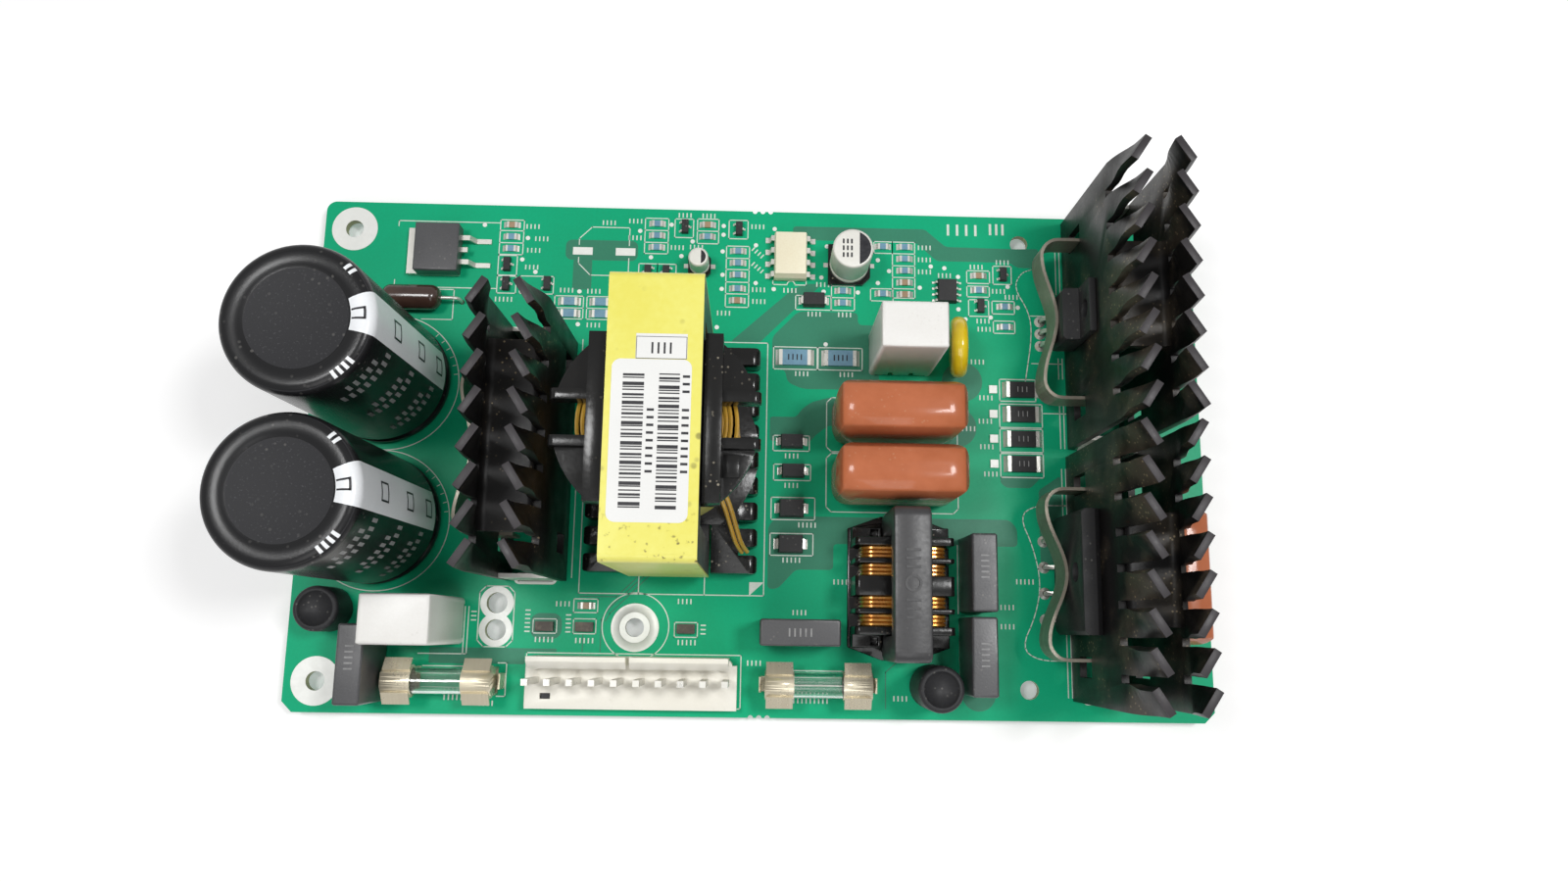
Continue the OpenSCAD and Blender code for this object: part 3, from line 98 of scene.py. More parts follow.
def add_blend(tree, share, first, second):
    """A colour mix of two colours or sockets by a share; gives its output."""
    node = tree.nodes.new("ShaderNodeMix")
    node.data_type = "RGBA"
    feed(tree, node.inputs[0], share)
    feed(tree, node.inputs[6], first)
    feed(tree, node.inputs[7], second)
    return node.outputs[2]


def add_noise(tree, vector, scale, detail=3.0):
    node = tree.nodes.new("ShaderNodeTexNoise")
    node.inputs["Detail"].default_value = detail
    tree.links.new(vector, node.inputs["Vector"])
    feed(tree, node.inputs["Scale"], scale)
    return node.outputs["Fac"]


def add_range(tree, value, low, high, to_low=0.0, to_high=1.0):
    """A clamped change of range; gives its output."""
    node = tree.nodes.new("ShaderNodeMapRange")
    feed(tree, node.inputs["Value"], value)
    for label, number in (("From Min", low), ("From Max", high), ("To Min", to_low), ("To Max", to_high)):
        feed(tree, node.inputs[label], number)
    return node.outputs["Result"]


BLOTCH_SHARE = 0.7
GRAIN_SHARE = 0.3


def build_grain():
    """Soft blotches of tone and fine bumps over a moulded, dipped or sawn surface."""
    tree, ins, outs = shared_group(
        "surface_grain",
        [("Blotch Scale", "NodeSocketFloat", 120.0), ("Grain Scale", "NodeSocketFloat", 2500.0)],
        [("Tone", "NodeSocketFloat"), ("Height", "NodeSocketFloat")])
    place = tree.nodes.new("ShaderNodeTexCoord").outputs["Object"]
    blotch = add_noise(tree, place, ins.outputs["Blotch Scale"], 4.0)
    grain = add_noise(tree, place, ins.outputs["Grain Scale"], 2.0)
    broad = add_math(tree, "MULTIPLY", blotch, BLOTCH_SHARE)
    tone = add_math(tree, "ADD", broad, add_math(tree, "MULTIPLY", grain, GRAIN_SHARE))
    tree.links.new(tone, outs.inputs["Tone"])
    tree.links.new(grain, outs.inputs["Height"])
    return tree


def build_dust():
    """Small specks of dust in patches, and the soft patches themselves, as masks."""
    tree, ins, outs = shared_group(
        "dust_specks",
        [("Scale", "NodeSocketFloat", 900.0), ("Amount", "NodeSocketFloat", 0.3)],
        [("Specks", "NodeSocketFloat"), ("Smudge", "NodeSocketFloat")])
    place = tree.nodes.new("ShaderNodeTexCoord").outputs["Object"]
    cells = tree.nodes.new("ShaderNodeTexVoronoi")
    tree.links.new(place, cells.inputs["Vector"])
    tree.links.new(ins.outputs["Scale"], cells.inputs["Scale"])
    speck = add_range(tree, cells.outputs["Distance"], 0.22, 0.12)
    patch = add_range(tree, add_noise(tree, place, 110.0, 3.0), 0.48, 0.64)
    in_patch = add_math(tree, "MULTIPLY", speck, patch)
    mask = add_math(tree, "MULTIPLY", in_patch, ins.outputs["Amount"], clamp=True)
    tree.links.new(mask, outs.inputs["Specks"])
    tree.links.new(patch, outs.inputs["Smudge"])
    return tree


def build_brushed():
    """Fine lines drawn along one direction, for rolled and plated strip."""
    tree, ins, outs = shared_group(
        "drawn_lines",
        [("Stretch", "NodeSocketVector", (4000.0, 120.0, 120.0))],
        [("Lines", "NodeSocketFloat")])
    place = tree.nodes.new("ShaderNodeTexCoord").outputs["Object"]
    scaled = tree.nodes.new("ShaderNodeVectorMath")
    scaled.operation = "MULTIPLY"
    tree.links.new(place, scaled.inputs[0])
    tree.links.new(ins.outputs["Stretch"], scaled.inputs[1])
    tree.links.new(add_noise(tree, scaled.outputs[0], 1.0, 3.0), outs.inputs["Lines"])
    return tree


GRAIN = build_grain()
DUST = build_dust()
LINES = build_brushed()


class Finish:
    """A material under construction: its tree, its shader and its colour so far."""

    def __init__(self, name, colour, rough, metal=0.0, coat=0.0, specular=0.5):
        self.material = bpy.data.materials.new(name)
        self.material.use_nodes = True
        self.tree = self.material.node_tree
        self.shader = self.tree.nodes["Principled BSDF"]
        for label, value in (("Metallic", metal), ("Coat Weight", coat), ("Coat Roughness", 0.04),
                             ("Specular IOR Level", specular)):
            self.shader.inputs[label].default_value = value
        self.colour = colour
        self.rough = rough
        self.normal = None

    def calc(self, *values):
        return add_math(self.tree, *values)

    def remap(self, *values):
        return add_range(self.tree, *values)

    def group(self, tree, **values):
        node = self.tree.nodes.new("ShaderNodeGroup")
        node.node_tree = tree
        for label, value in values.items():
            node.inputs[label.replace("_", " ")].default_value = value
        return node

    def split(self, kind, axis):
        """One part of the Object place or of the surface direction."""
        place = self.tree.nodes.new("ShaderNodeTexCoord")
        parts = self.tree.nodes.new("ShaderNodeSeparateXYZ")
        self.tree.links.new(place.outputs[kind], parts.inputs[0])
        return parts.outputs[axis]

    def height_above(self, z):
        """Height above a level over the board, in millimetres."""
        height = self.calc("MULTIPLY", self.split("Object", "Z"), 1.0 / MM)
        return self.calc("SUBTRACT", height, z + BOARD_T)

    def blend(self, share, other):
        self.colour = add_blend(self.tree, share, self.colour, other)

    def grain(self, dark, blotch=120.0, fine=2500.0, rough_swing=0.08, bump=0.0, bump_distance=0.05):
        """Tone between the colour and a darker one, with roughness and bumps that follow it."""
        node = self.group(GRAIN, Blotch_Scale=blotch, Grain_Scale=fine)
        self.blend(self.remap(node.outputs["Tone"], 0.35, 0.65), dark)
        self.rough = self.remap(node.outputs["Tone"], 0.3, 0.7,
                               max(0.02, self.rough - rough_swing), self.rough + rough_swing)
        if bump:
            self.bump(node.outputs["Height"], bump, bump_distance)
        return node

    def bump(self, height, strength, distance):
        node = self.tree.nodes.new("ShaderNodeBump")
        node.inputs["Strength"].default_value = strength
        node.inputs["Distance"].default_value = distance * MM
        self.tree.links.new(height, node.inputs["Height"])
        if self.normal is not None:
            self.tree.links.new(self.normal, node.inputs["Normal"])
        self.normal = node.outputs["Normal"]

    def dust(self, colour, amount, scale=900.0):
        node = self.group(DUST, Scale=scale, Amount=amount)
        self.blend(node.outputs["Specks"], colour)

    def lines(self, dark, stretch, bump, bump_distance):
        node = self.group(LINES, Stretch=stretch)
        self.blend(self.remap(node.outputs["Lines"], 0.35, 0.65), dark)
        self.bump(node.outputs["Lines"], bump, bump_distance)

    def done(self):
        feed(self.tree, self.shader.inputs["Base Color"], self.colour)
        feed(self.tree, self.shader.inputs["Roughness"], self.rough)
        if self.normal is not None:
            self.tree.links.new(self.normal, self.shader.inputs["Normal"])
        return self.material


def solder_mask(name, lit, shade):
    """Green lacquer over copper or bare laminate, with pale cut edges."""
    f = Finish(name, lit, 0.34, specular=0.14)
    f.grain(shade, blotch=60.0, fine=1800.0, rough_swing=0.06, bump=0.15, bump_distance=0.03)
    upright = f.remap(f.calc("ABSOLUTE", f.split("Normal", "Z")), 0.6, 0.4)
    f.blend(upright, (0.42, 0.46, 0.26))
    return f.done()


def plain_finish(name, colour, dark, rough, coat=0.0, specular=0.5, blotch=120.0, fine=2500.0,
                 bump=0.0, bump_distance=0.05, dust=None):
    f = Finish(name, colour, rough, coat=coat, specular=specular)
    f.grain(dark, blotch, fine, 0.08, bump, bump_distance)
    if dust:
        f.dust(*dust)
    return f.done()


def strip_metal(name, colour, dark, rough, stretch, metal):
    """Plated or tinned metal with drawn lines and duller patches."""
    f = Finish(name, colour, rough, metal=metal)
    f.grain(dark, blotch=90.0, fine=1500.0, rough_swing=0.12)
    f.lines(dark, stretch, bump=0.05, bump_distance=0.02)
    return f.done()


def sleeve_finish():
    """Shrunk black sleeve, glossy on the side and rim, dull on the sunk disc on top."""
    f = Finish("black_sleeve_finish", (0.012, 0.012, 0.013), 0.3, specular=0.3)
    node = f.group(GRAIN, Blotch_Scale=90.0, Grain_Scale=2600.0)
    off = f.calc("ABSOLUTE", f.height_above(SLEEVE_TOP - DISC_DEPTH))
    disc = f.remap(off, 0.09, 0.05)
    f.blend(disc, (0.021, 0.021, 0.0235))
    speck = f.remap(node.outputs["Height"], 0.62, 0.7)
    f.blend(f.calc("MULTIPLY", speck, f.calc("MULTIPLY", disc, 0.5)), (0.07, 0.07, 0.075))
    f.rough = f.remap(disc, 0.0, 1.0, 0.27, 0.6)
    f.bump(node.outputs["Height"], 0.18, 0.05)
    f.dust((0.3, 0.29, 0.27), 0.25, scale=700.0)
    return f.done()


def heatsink_finish():
    """Black anodised strip with brown dust that grows up the walls and towards the right-hand heatsinks;
    where it fades, low down and on the left heatsink, it is partly painted shade between the walls. The
    finger tips are lighter purple-grey, a painted highlight.
    """
    f = Finish("black_anodised_finish", (0.008, 0.0073, 0.0073), 0.42, specular=0.27)
    f.grain((0.005, 0.0047, 0.005), blotch=140.0, fine=2200.0, rough_swing=0.1, bump=0.2, bump_distance=0.04)
    # Brown dust in patches, weighted up the walls and towards the right-hand heatsinks. The weaker tint low
    # down and on the left heatsink is partly painted shade, where shade falls between the walls.
    smudge = f.group(DUST).outputs["Smudge"]
    upper = f.remap(f.height_above(8.0), 0.0, 30.0, 0.3, 1.0)
    right = f.remap(f.split("Object", "X"), *DUST_AND_SHADE_SPAN, 0.15, 1.0)
    share = f.calc("MULTIPLY", smudge, f.calc("MULTIPLY", upper, right))
    f.blend(share, (0.06, 0.049, 0.036))
    f.dust((0.33, 0.26, 0.16), 0.8, scale=1000.0)
    # Painted highlight: the tips of the fingers are lighter purple-grey, standing in for the light caught on
    # their edges.
    f.blend(f.remap(f.height_above(FIN_TOP), -0.2, -0.1), (0.042, 0.038, 0.041))
    return f.done()


def tape_finish():
    """Yellow polyester tape with faint wrinkles, and dirt towards its front edge."""
    f = Finish("yellow_tape_finish", (0.83, 0.795, 0.2), 0.34, coat=0.2, specular=0.35)
    node = f.grain((0.78, 0.72, 0.12), blotch=70.0, fine=900.0, rough_swing=0.06)
    wrinkles = f.group(LINES, Stretch=(60.0, 900.0, 900.0))
    f.bump(wrinkles.outputs["Lines"], 0.22, 0.12)
    f.bump(node.outputs["Tone"], 0.25, 0.2)
    f.dust((0.06, 0.045, 0.02), 0.6, scale=330.0)
    dirt = f.remap(node.outputs["Height"], 0.62, 0.74)
    front = f.remap(f.split("Object", "Y"), *DIRT_SPAN)
    on_top = f.calc("MULTIPLY", front, f.remap(f.height_above(TAPE_TOP), -1.8, -0.3))
    f.blend(f.calc("MULTIPLY", dirt, on_top), (0.14, 0.11, 0.04))
    return f.done()


def copper_finish():
    """Enamelled copper wire, golden to brown from turn to turn."""
    f = Finish("enamelled_copper_finish", (0.68, 0.33, 0.06), 0.26, metal=0.6, coat=0.4)
    f.grain((0.36, 0.13, 0.02), blotch=260.0, fine=1500.0)
    return f.done()


def glass_finish():
    f = Finish("fuse_glass_finish", (0.95, 0.98, 0.96), 0.03)
    f.shader.inputs["Transmission Weight"].default_value = 1.0
    f.shader.inputs["IOR"].default_value = 1.5
    node = f.group(GRAIN, Blotch_Scale=150.0, Grain_Scale=2500.0)
    f.blend(f.remap(node.outputs["Tone"], 0.4, 0.7), (0.88, 0.93, 0.9))
    f.rough = f.remap(node.outputs["Tone"], 0.3, 0.7, 0.02, 0.06)
    return f.done()


# Levels over the board that finishes change at
SLEEVE_TOP = top_of("bulk_capacitor_1")
DISC_DEPTH = 0.5
FIN_TOP = top_of("heatsink_left")
TAPE_TOP = top_of("transformer_tape")
# Where dirt lies, in metres, along Y on the tape; and the span along X over which the heatsinks' brown dust
# grows, which is partly painted shade on the left heatsink
DIRT_SPAN = (-0.016, -0.021)
DUST_AND_SHADE_SPAN = (0.0, 0.06)
GREY_DUST = ((0.25, 0.24, 0.22), 0.35)
# Scales of the drawn lines along X, Y and Z on tinned metal
TIN_STRETCH = (600.0, 600.0, 250.0)
MATERIALS = {
    "black_sleeve": sleeve_finish(), "enamelled_copper": copper_finish(), "yellow_tape": tape_finish(),
    "black_anodised": heatsink_finish(), "fuse_glass": glass_finish()}


def fill_slot(slot, make, *values, **others):
    """Makes the finish of a material slot and names it after the slot."""
    MATERIALS[slot] = make(slot + "_finish", *values, **others)


fill_slot("green_mask", solder_mask, (0.006, 0.43, 0.21), (0.006, 0.38, 0.182))
fill_slot("tinned_metal", strip_metal, (0.78, 0.77, 0.72), (0.66, 0.65, 0.6), 0.34, TIN_STRETCH, 0.6)
fill_slot("ferrite", plain_finish, (0.056, 0.055, 0.057), (0.032, 0.032, 0.034), 0.38, fine=1600.0,
          bump=0.35, bump_distance=0.06, dust=GREY_DUST)
fill_slot("black_moulding", plain_finish, (0.011, 0.0105, 0.01), (0.006, 0.006, 0.006), 0.19, specular=0.38,
          fine=1300.0, bump=0.32, dust=((0.36, 0.32, 0.25), 0.9))
fill_slot("white_label", plain_finish, (0.81, 0.81, 0.79), (0.77, 0.77, 0.75), 0.55, blotch=80.0,
          fine=3000.0, bump=0.08)
fill_slot("spring_steel", strip_metal, (0.42, 0.39, 0.32), (0.28, 0.25, 0.2), 0.42,
          (150.0, 150.0, 2600.0), 0.6)
fill_slot("black_epoxy", plain_finish, (0.03, 0.03, 0.031), (0.019, 0.019, 0.02), 0.5, specular=0.3,
          fine=3200.0, bump=0.3, bump_distance=0.04, dust=GREY_DUST)
fill_slot("brown_coating", plain_finish, (0.54, 0.17, 0.078), (0.46, 0.135, 0.056), 0.2, coat=0.22,
          specular=0.15, blotch=90.0, fine=500.0, bump=0.1, bump_distance=0.15, dust=((0.6, 0.45, 0.3), 0.2))
fill_slot("grey_box", plain_finish, (0.085, 0.085, 0.089), (0.058, 0.058, 0.062), 0.34, fine=2800.0,
          bump=0.3, dust=GREY_DUST)
fill_slot("white_box", plain_finish, (0.85, 0.84, 0.81), (0.8, 0.785, 0.75), 0.42, fine=2200.0, bump=0.1,
          dust=((0.3, 0.25, 0.18), 0.12))
fill_slot("yellow_coating", plain_finish, (0.88, 0.66, 0.02), (0.79, 0.54, 0.012), 0.2, coat=0.5,
          blotch=150.0, fine=600.0, bump=0.2, bump_distance=0.12)
fill_slot("dark_brown_coating", plain_finish, (0.075, 0.04, 0.03), (0.045, 0.022, 0.016), 0.22, coat=0.4,
          blotch=160.0, fine=600.0, bump=0.18, bump_distance=0.12)
fill_slot("fuse_metal", strip_metal, (0.78, 0.71, 0.55), (0.68, 0.61, 0.46), 0.3,
          (2500.0, 150.0, 150.0), 0.55)
fill_slot("cream_moulding", plain_finish, (0.88, 0.855, 0.77), (0.83, 0.8, 0.71), 0.4, blotch=70.0,
          fine=2400.0, bump=0.08, dust=((0.35, 0.3, 0.2), 0.12))
fill_slot("cream_epoxy", plain_finish, (0.9, 0.85, 0.66), (0.84, 0.77, 0.57), 0.45, fine=2600.0, bump=0.2)
fill_slot("can_aluminium", strip_metal, (0.86, 0.85, 0.79), (0.74, 0.73, 0.68), 0.5,
          (300.0, 300.0, 2500.0), 0.25)
fill_slot("blue_glaze", plain_finish, (0.19, 0.38, 0.5), (0.13, 0.27, 0.39), 0.3, coat=0.25, blotch=500.0)
fill_slot("tan_ceramic", plain_finish, (0.42, 0.29, 0.18), (0.33, 0.21, 0.12), 0.4, blotch=600.0)
# Bare laminate, which also serves for patches of painted shadow on the board
BARE_MASK_AND_SHADE = solder_mask("bare_laminate_and_painted_shadow_finish", (0.05, 0.25, 0.155), (0.045, 0.22, 0.135))
DULL_TIN = strip_metal("dull_tin_finish", (0.88, 0.89, 0.85), (0.8, 0.81, 0.77), 0.45, TIN_STRETCH, 0.15)
# Painted reflection: the test points' plated metal gets a dark brown colour that stands in for the dark
# surroundings it reflects.
TIN_WITH_DARK_REFLECTION = strip_metal("tin_painted_dark_reflection_finish", (0.12, 0.1, 0.075), (0.05, 0.042, 0.035), 0.4,
                       (900.0, 900.0, 250.0), 0.5)
DULL_SLEEVE = plain_finish("dull_sleeve_finish", (0.03, 0.03, 0.032), (0.018, 0.018, 0.02), 0.52,
                           specular=0.3, fine=2600.0, bump=0.3, dust=GREY_DUST)
LEGEND = plain_finish("legend_ink", (0.74, 0.8, 0.73), (0.64, 0.7, 0.62), 0.55, blotch=900.0, fine=3500.0)
SLEEVE_PRINT = plain_finish("sleeve_print", (0.88, 0.9, 0.92), (0.8, 0.82, 0.84), 0.35, coat=0.15)
DARK_INK = plain_finish("dark_ink", (0.016, 0.016, 0.02), (0.03, 0.03, 0.034), 0.4, specular=0.3,
                        blotch=900.0)
PALE_INK = plain_finish("pale_ink", (0.3, 0.3, 0.3), (0.22, 0.22, 0.22), 0.5, specular=0.3, blotch=900.0)
LEAD_WIRE = plain_finish("amber_wire_enamel", (0.7, 0.43, 0.06), (0.5, 0.27, 0.03), 0.25, coat=0.5)

SLOT_OF = {row["node"]: row["material_slot"] for row in frame["record"]["subparts"]}
for node_name, node_object in frame["nodes"].items():
    node_object.data.materials.clear()
    node_object.data.materials.append(MATERIALS[SLOT_OF[node_name]])


def put_in_scene(name, data):
    thing = bpy.data.objects.new(name, data)
    bpy.context.scene.collection.objects.link(thing)
    return thing


def add_piece(name, bm, material, replaced=None, smooth_angle=None):
    """Turns a bmesh into a piece of the object."""
    mesh = bpy.data.meshes.new(name)
    bm.to_mesh(mesh)
    bm.free()
    if smooth_angle is not None:
        mesh.shade_smooth()
        mesh.set_sharp_from_angle(angle=math.radians(smooth_angle))
    mesh.materials.append(material)
    piece = put_in_scene(name, mesh)
    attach(piece, "root")
    if replaced:
        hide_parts(replaced)
    return piece


# Angles between faces, in degrees: what counts as flat, as a sharp edge, as a round surface
# and as a round wire
FLAT_ANGLE = 1.0
SHARP_ANGLE = 40.0
SMOOTH_ANGLE = 32.0
WIRE_ANGLE = 50.0
# How near two points have to be to be joined, on copies of CAD nodes and on wires
MERGE_DISTANCE = 0.002
WIRE_MERGE = 0.001


def merged_copy(node):
    """A bmesh of a CAD node's triangles, joined where they meet."""
    bm = bmesh.new()
    bm.from_mesh(frame["nodes"][node].data)
    bmesh.ops.remove_doubles(bm, verts=bm.verts, dist=MERGE_DISTANCE * MM)
    return bm


def dress(node, edge=0.0, smooth_angle=SMOOTH_ANGLE, material=None):
    """A merged copy of a CAD node with smooth curves and, where given, softened edges."""
    bm = merged_copy(node)
    if edge:
        bmesh.ops.dissolve_limit(bm, angle_limit=math.radians(FLAT_ANGLE), verts=bm.verts, edges=bm.edges)
        sharp = [e for e in bm.edges if len(e.link_faces) == 2
                 and e.calc_face_angle(0.0) > math.radians(SHARP_ANGLE)]
        bmesh.ops.bevel(bm, geom=sharp, offset=edge * MM, offset_type="OFFSET", affect="EDGES",
                        segments=2, profile=0.5, material=-1, clamp_overlap=True)
    slot = SLOT_OF[node]
    return add_piece(node + "_surface", bm, material or MATERIALS[slot], node, smooth_angle)


def join_into(bm, part):
    """Adds one bmesh to another and frees it."""
    held = bpy.data.meshes.new("part")
    part.to_mesh(held)
    part.free()
    bm.from_mesh(held)
    bpy.data.meshes.remove(held)


def lay_bar(bm, start, end, width, z, height):
    """A straight flat bar on the board from one place to another."""
    dx, dy = end[0] - start[0], end[1] - start[1]
    length = math.hypot(dx, dy) + width
    middle = spot((start[0] + end[0]) / 2, (start[1] + end[1]) / 2, z + height / 2)
    bmesh.ops.create_cube(bm, size=1.0, matrix=(
        Matrix.Translation(middle) @ Matrix.Rotation(math.atan2(dy, dx), 4, "Z")
        @ Matrix.Diagonal((length * MM, width * MM, height * MM, 1.0))))


def soften(points, rounds=2):
    """A path with its corners cut, twice over, into a smooth curve."""
    for _ in range(rounds):
        cut = [points[0]]
        for (ax, ay), (bx, by) in zip(points, points[1:]):
            for far in (0.25, 0.75):
                near = 1.0 - far
                cut.append((near * ax + far * bx, near * ay + far * by))
        points = cut + [points[-1]]
    return points


def lay_path(bm, points, width, z, height):
    for start, end in zip(points, points[1:]):
        lay_bar(bm, start, end, width, z, height)


def lay_bar_row(bm, middle, count, turn, bar, pitch, z, height):
    """A row of short bars side by side, centred on a place and turned."""
    a = math.radians(turn)
    along, across = (math.cos(a), math.sin(a)), (-math.sin(a), math.cos(a))
    half = (bar[1] - bar[0]) / 2
    for i in range(count):
        step = (i - (count - 1) / 2) * pitch
        x, y = middle[0] + along[0] * step, middle[1] + along[1] * step
        ends = [(x + side * across[0] * half, y + side * across[1] * half) for side in (-1, 1)]
        lay_bar(bm, *ends, bar[0], z, height)


def lay_ring(bm, centre, radius, width, z, height, steps=72, start=0.0, turn=360.0):
    """A flat ring, or part of one, swept round a place on the board."""
    a = math.radians(start)
    along = Vector((math.cos(a), math.sin(a), 0.0))
    middle = spot(*centre, 0.0)
    corners = []
    for r, h in ((radius - width / 2, z), (radius + width / 2, z),
                 (radius + width / 2, z + height), (radius - width / 2, z + height)):
        corners.append(bm.verts.new(middle + along * r * MM + Vector((0, 0, h * MM))))
    edges = [bm.edges.new((corners[i], corners[(i + 1) % 4])) for i in range(4)]
    whole = turn >= 360.0
    geom = corners + edges if whole else [bm.faces.new(corners)]
    bmesh.ops.spin(bm, geom=geom, cent=middle, axis=(0, 0, 1), angle=math.radians(turn),
                   steps=steps, use_merge=whole)


def lay_dot(bm, centre, radius, z, height, segments=14):
    bmesh.ops.create_cone(bm, cap_ends=True, cap_tris=False, segments=segments, radius1=radius * MM,
                          radius2=radius * MM, depth=height * MM,
                          matrix=Matrix.Translation(spot(*centre, z + height / 2)))


def lay_patch(bm, outline, round_by, z, height):
    """A flat patch with rounded corners on the board."""
    patch = bmesh.new()
    patch.faces.new([patch.verts.new(spot(x, y, z)) for x, y in outline])
    if round_by:
        bmesh.ops.bevel(patch, geom=list(patch.verts), offset=round_by * MM, offset_type="OFFSET",
                        affect="VERTICES", segments=5, profile=0.5, material=-1, clamp_overlap=True)
    grown = bmesh.ops.extrude_face_region(patch, geom=list(patch.faces))
    bmesh.ops.translate(patch, vec=(0, 0, height * MM),
                        verts=[v for v in grown["geom"] if isinstance(v, bmesh.types.BMVert)])
    bmesh.ops.recalc_face_normals(patch, faces=patch.faces)
    join_into(bm, patch)


def add_wires(name, paths, radius, material, cyclic=False, replaced=None, sides=2):
    """Round wires along paths of places, made into one mesh."""
    curve = bpy.data.curves.new(name + "_path", "CURVE")
    curve.dimensions = "3D"
    curve.bevel_depth = radius * MM
    curve.bevel_resolution = sides
    curve.use_fill_caps = True
    curve.resolution_u = 6
    for path in paths:
        spline = curve.splines.new("POLY" if cyclic else "NURBS")
        spline.points.add(len(path) - 1)
        for point, place in zip(spline.points, path):
            point.co = (*spot(*place), 1.0)
        spline.use_cyclic_u = cyclic
        if not cyclic:
            spline.order_u = 3
            spline.use_endpoint_u = True
    holder = put_in_scene(name + "_path", curve)
    bpy.context.view_layer.update()
    bm = bmesh.new()
    bm.from_mesh(holder.to_mesh())
    holder.to_mesh_clear()
    bpy.data.objects.remove(holder)
    bpy.data.curves.remove(curve)
    bmesh.ops.remove_doubles(bm, verts=bm.verts, dist=WIRE_MERGE * MM)
    bmesh.ops.recalc_face_normals(bm, faces=bm.faces)
    return add_piece(name, bm, material, replaced, WIRE_ANGLE)


ROUND_NODES = (
    "bulk_capacitor_1", "bulk_capacitor_2", "film_capacitor_1", "film_capacitor_2", "film_capacitor_3",
    "disc_capacitor", "axial_inductor", "can_capacitors",
    "fuse_tubes", "fuse_caps", "fuse_wires", "component_leads", "device_leads",
    "bulk_terminals", "solder_joints", "spring_clip_left", "spring_clip_rear", "spring_clip_front",
    "transformer_pins", "choke_pins", "chip_leads", "white_capacitor_1",
    "white_capacitor_2", "transformer_tape")
# Softened edges of the moulded, sawn and sheared pieces
EDGES = {
    "transformer_bobbin": 0.25, "choke_core": 0.6, "choke_bobbin": 0.15, "header_housing": 0.15,
    "heatsink_left": 0.12, "heatsink_rear": 0.12, "heatsink_front": 0.12,
    "optocoupler": 0.15, "bridge_rectifier": 0.2, "output_rectifier": 0.15, "switch_transistor": 0.15,
    "box_capacitor_1": 0.6, "box_capacitor_2": 0.6, "box_capacitor_3": 0.6, "box_capacitor_4": 0.6}
# Nodes with a smoothing angle and a finish of their own
OTHER_FINISHES = (
    ("tinned_pads", 20.0, DULL_TIN), ("ground_eyelet", 20.0, DULL_TIN), ("test_points", 20.0, TIN_WITH_DARK_REFLECTION),
    ("sleeved_inductor_1", 40.0, DULL_SLEEVE), ("sleeved_inductor_2", 40.0, DULL_SLEEVE),
    ("fuse_clips", SMOOTH_ANGLE, MATERIALS["fuse_metal"]), ("header_pins", 20.0, MATERIALS["tinned_metal"]),
    ("thyristor_body", 20.0, MATERIALS["grey_box"]))
for name in ROUND_NODES:
    dress(name)
for name, edge in EDGES.items():
    dress(name, edge)
for name, angle, material in OTHER_FINISHES:
    dress(name, smooth_angle=angle, material=material)

INK_T = 0.03
INK_W = 0.2
# Frames of small parts: left, right and the levels of their cross lines
FRAMES = [
    (35.4, 40.2, [98.5, 96.2, 93.6, 91.1]), (35.4, 39.2, [90.9, 86.7]), (35.4, 39.2, [86.5, 82.9]),
    (40.0, 46.8, [86.6, 82.9]), (47.2, 53.0, [82.6, 80.1, 77.8]), (53.7, 58.5, [82.6, 80.1, 77.8]),
    (64.9, 69.7, [99.6, 97.0, 94.4, 92.0]), (71.0, 74.8, [99.6, 95.6]), (82.1, 86.0, [99.6, 95.6]),
    (63.9, 67.7, [89.8, 87.4]), (67.7, 71.5, [89.8, 87.4]), (75.6, 80.0, [99.7, 97.1, 94.4]),
    (81.7, 86.4, [94.0, 91.4, 89.0, 86.3, 83.8, 81.0]), (96.0, 103.2, [83.8, 80.8]),
    (103.3, 108.0, [86.0, 83.5, 80.8]), (112.0, 115.8, [95.7, 93.2]),
    (115.8, 120.4, [95.7, 93.2, 90.6, 88.1, 85.7, 83.7]), (111.3, 115.9, [85.6, 83.0]),
    (131.1, 135.8, [89.9, 87.2]), (131.1, 135.7, [86.6, 84.3]), (131.4, 135.5, [83.7, 80.2]),
    (136.5, 140.3, [91.0, 87.1]), (136.2, 140.8, [83.5, 80.8]), (136.4, 140.8, [79.3, 76.7]),
    (91.7, 100.5, [72.9, 68.3]), (100.7, 109.6, [72.9, 68.3]), (91.9, 99.1, [54.7, 51.6]),
    (92.1, 99.4, [48.9, 45.7]), (91.7, 100.3, [42.3, 37.9]), (91.6, 100.0, [35.2, 30.9]),
    (137.4, 144.7, [67.1, 62.6]), (137.3, 145.9, [62.0, 57.2]), (137.3, 145.9, [56.9, 52.2]),
    (137.3, 145.9, [51.9, 47.1]), (46.4, 50.9, [18.0, 15.3]), (54.1, 58.4, [18.1, 15.3]),
    (73.5, 77.9, [17.7, 14.9]), (54.0, 58.6, [21.9, 19.3]), (45.5, 86.4, [11.6, 1.6]),
    (54.8, 90.5, [73.6, 23.0])]
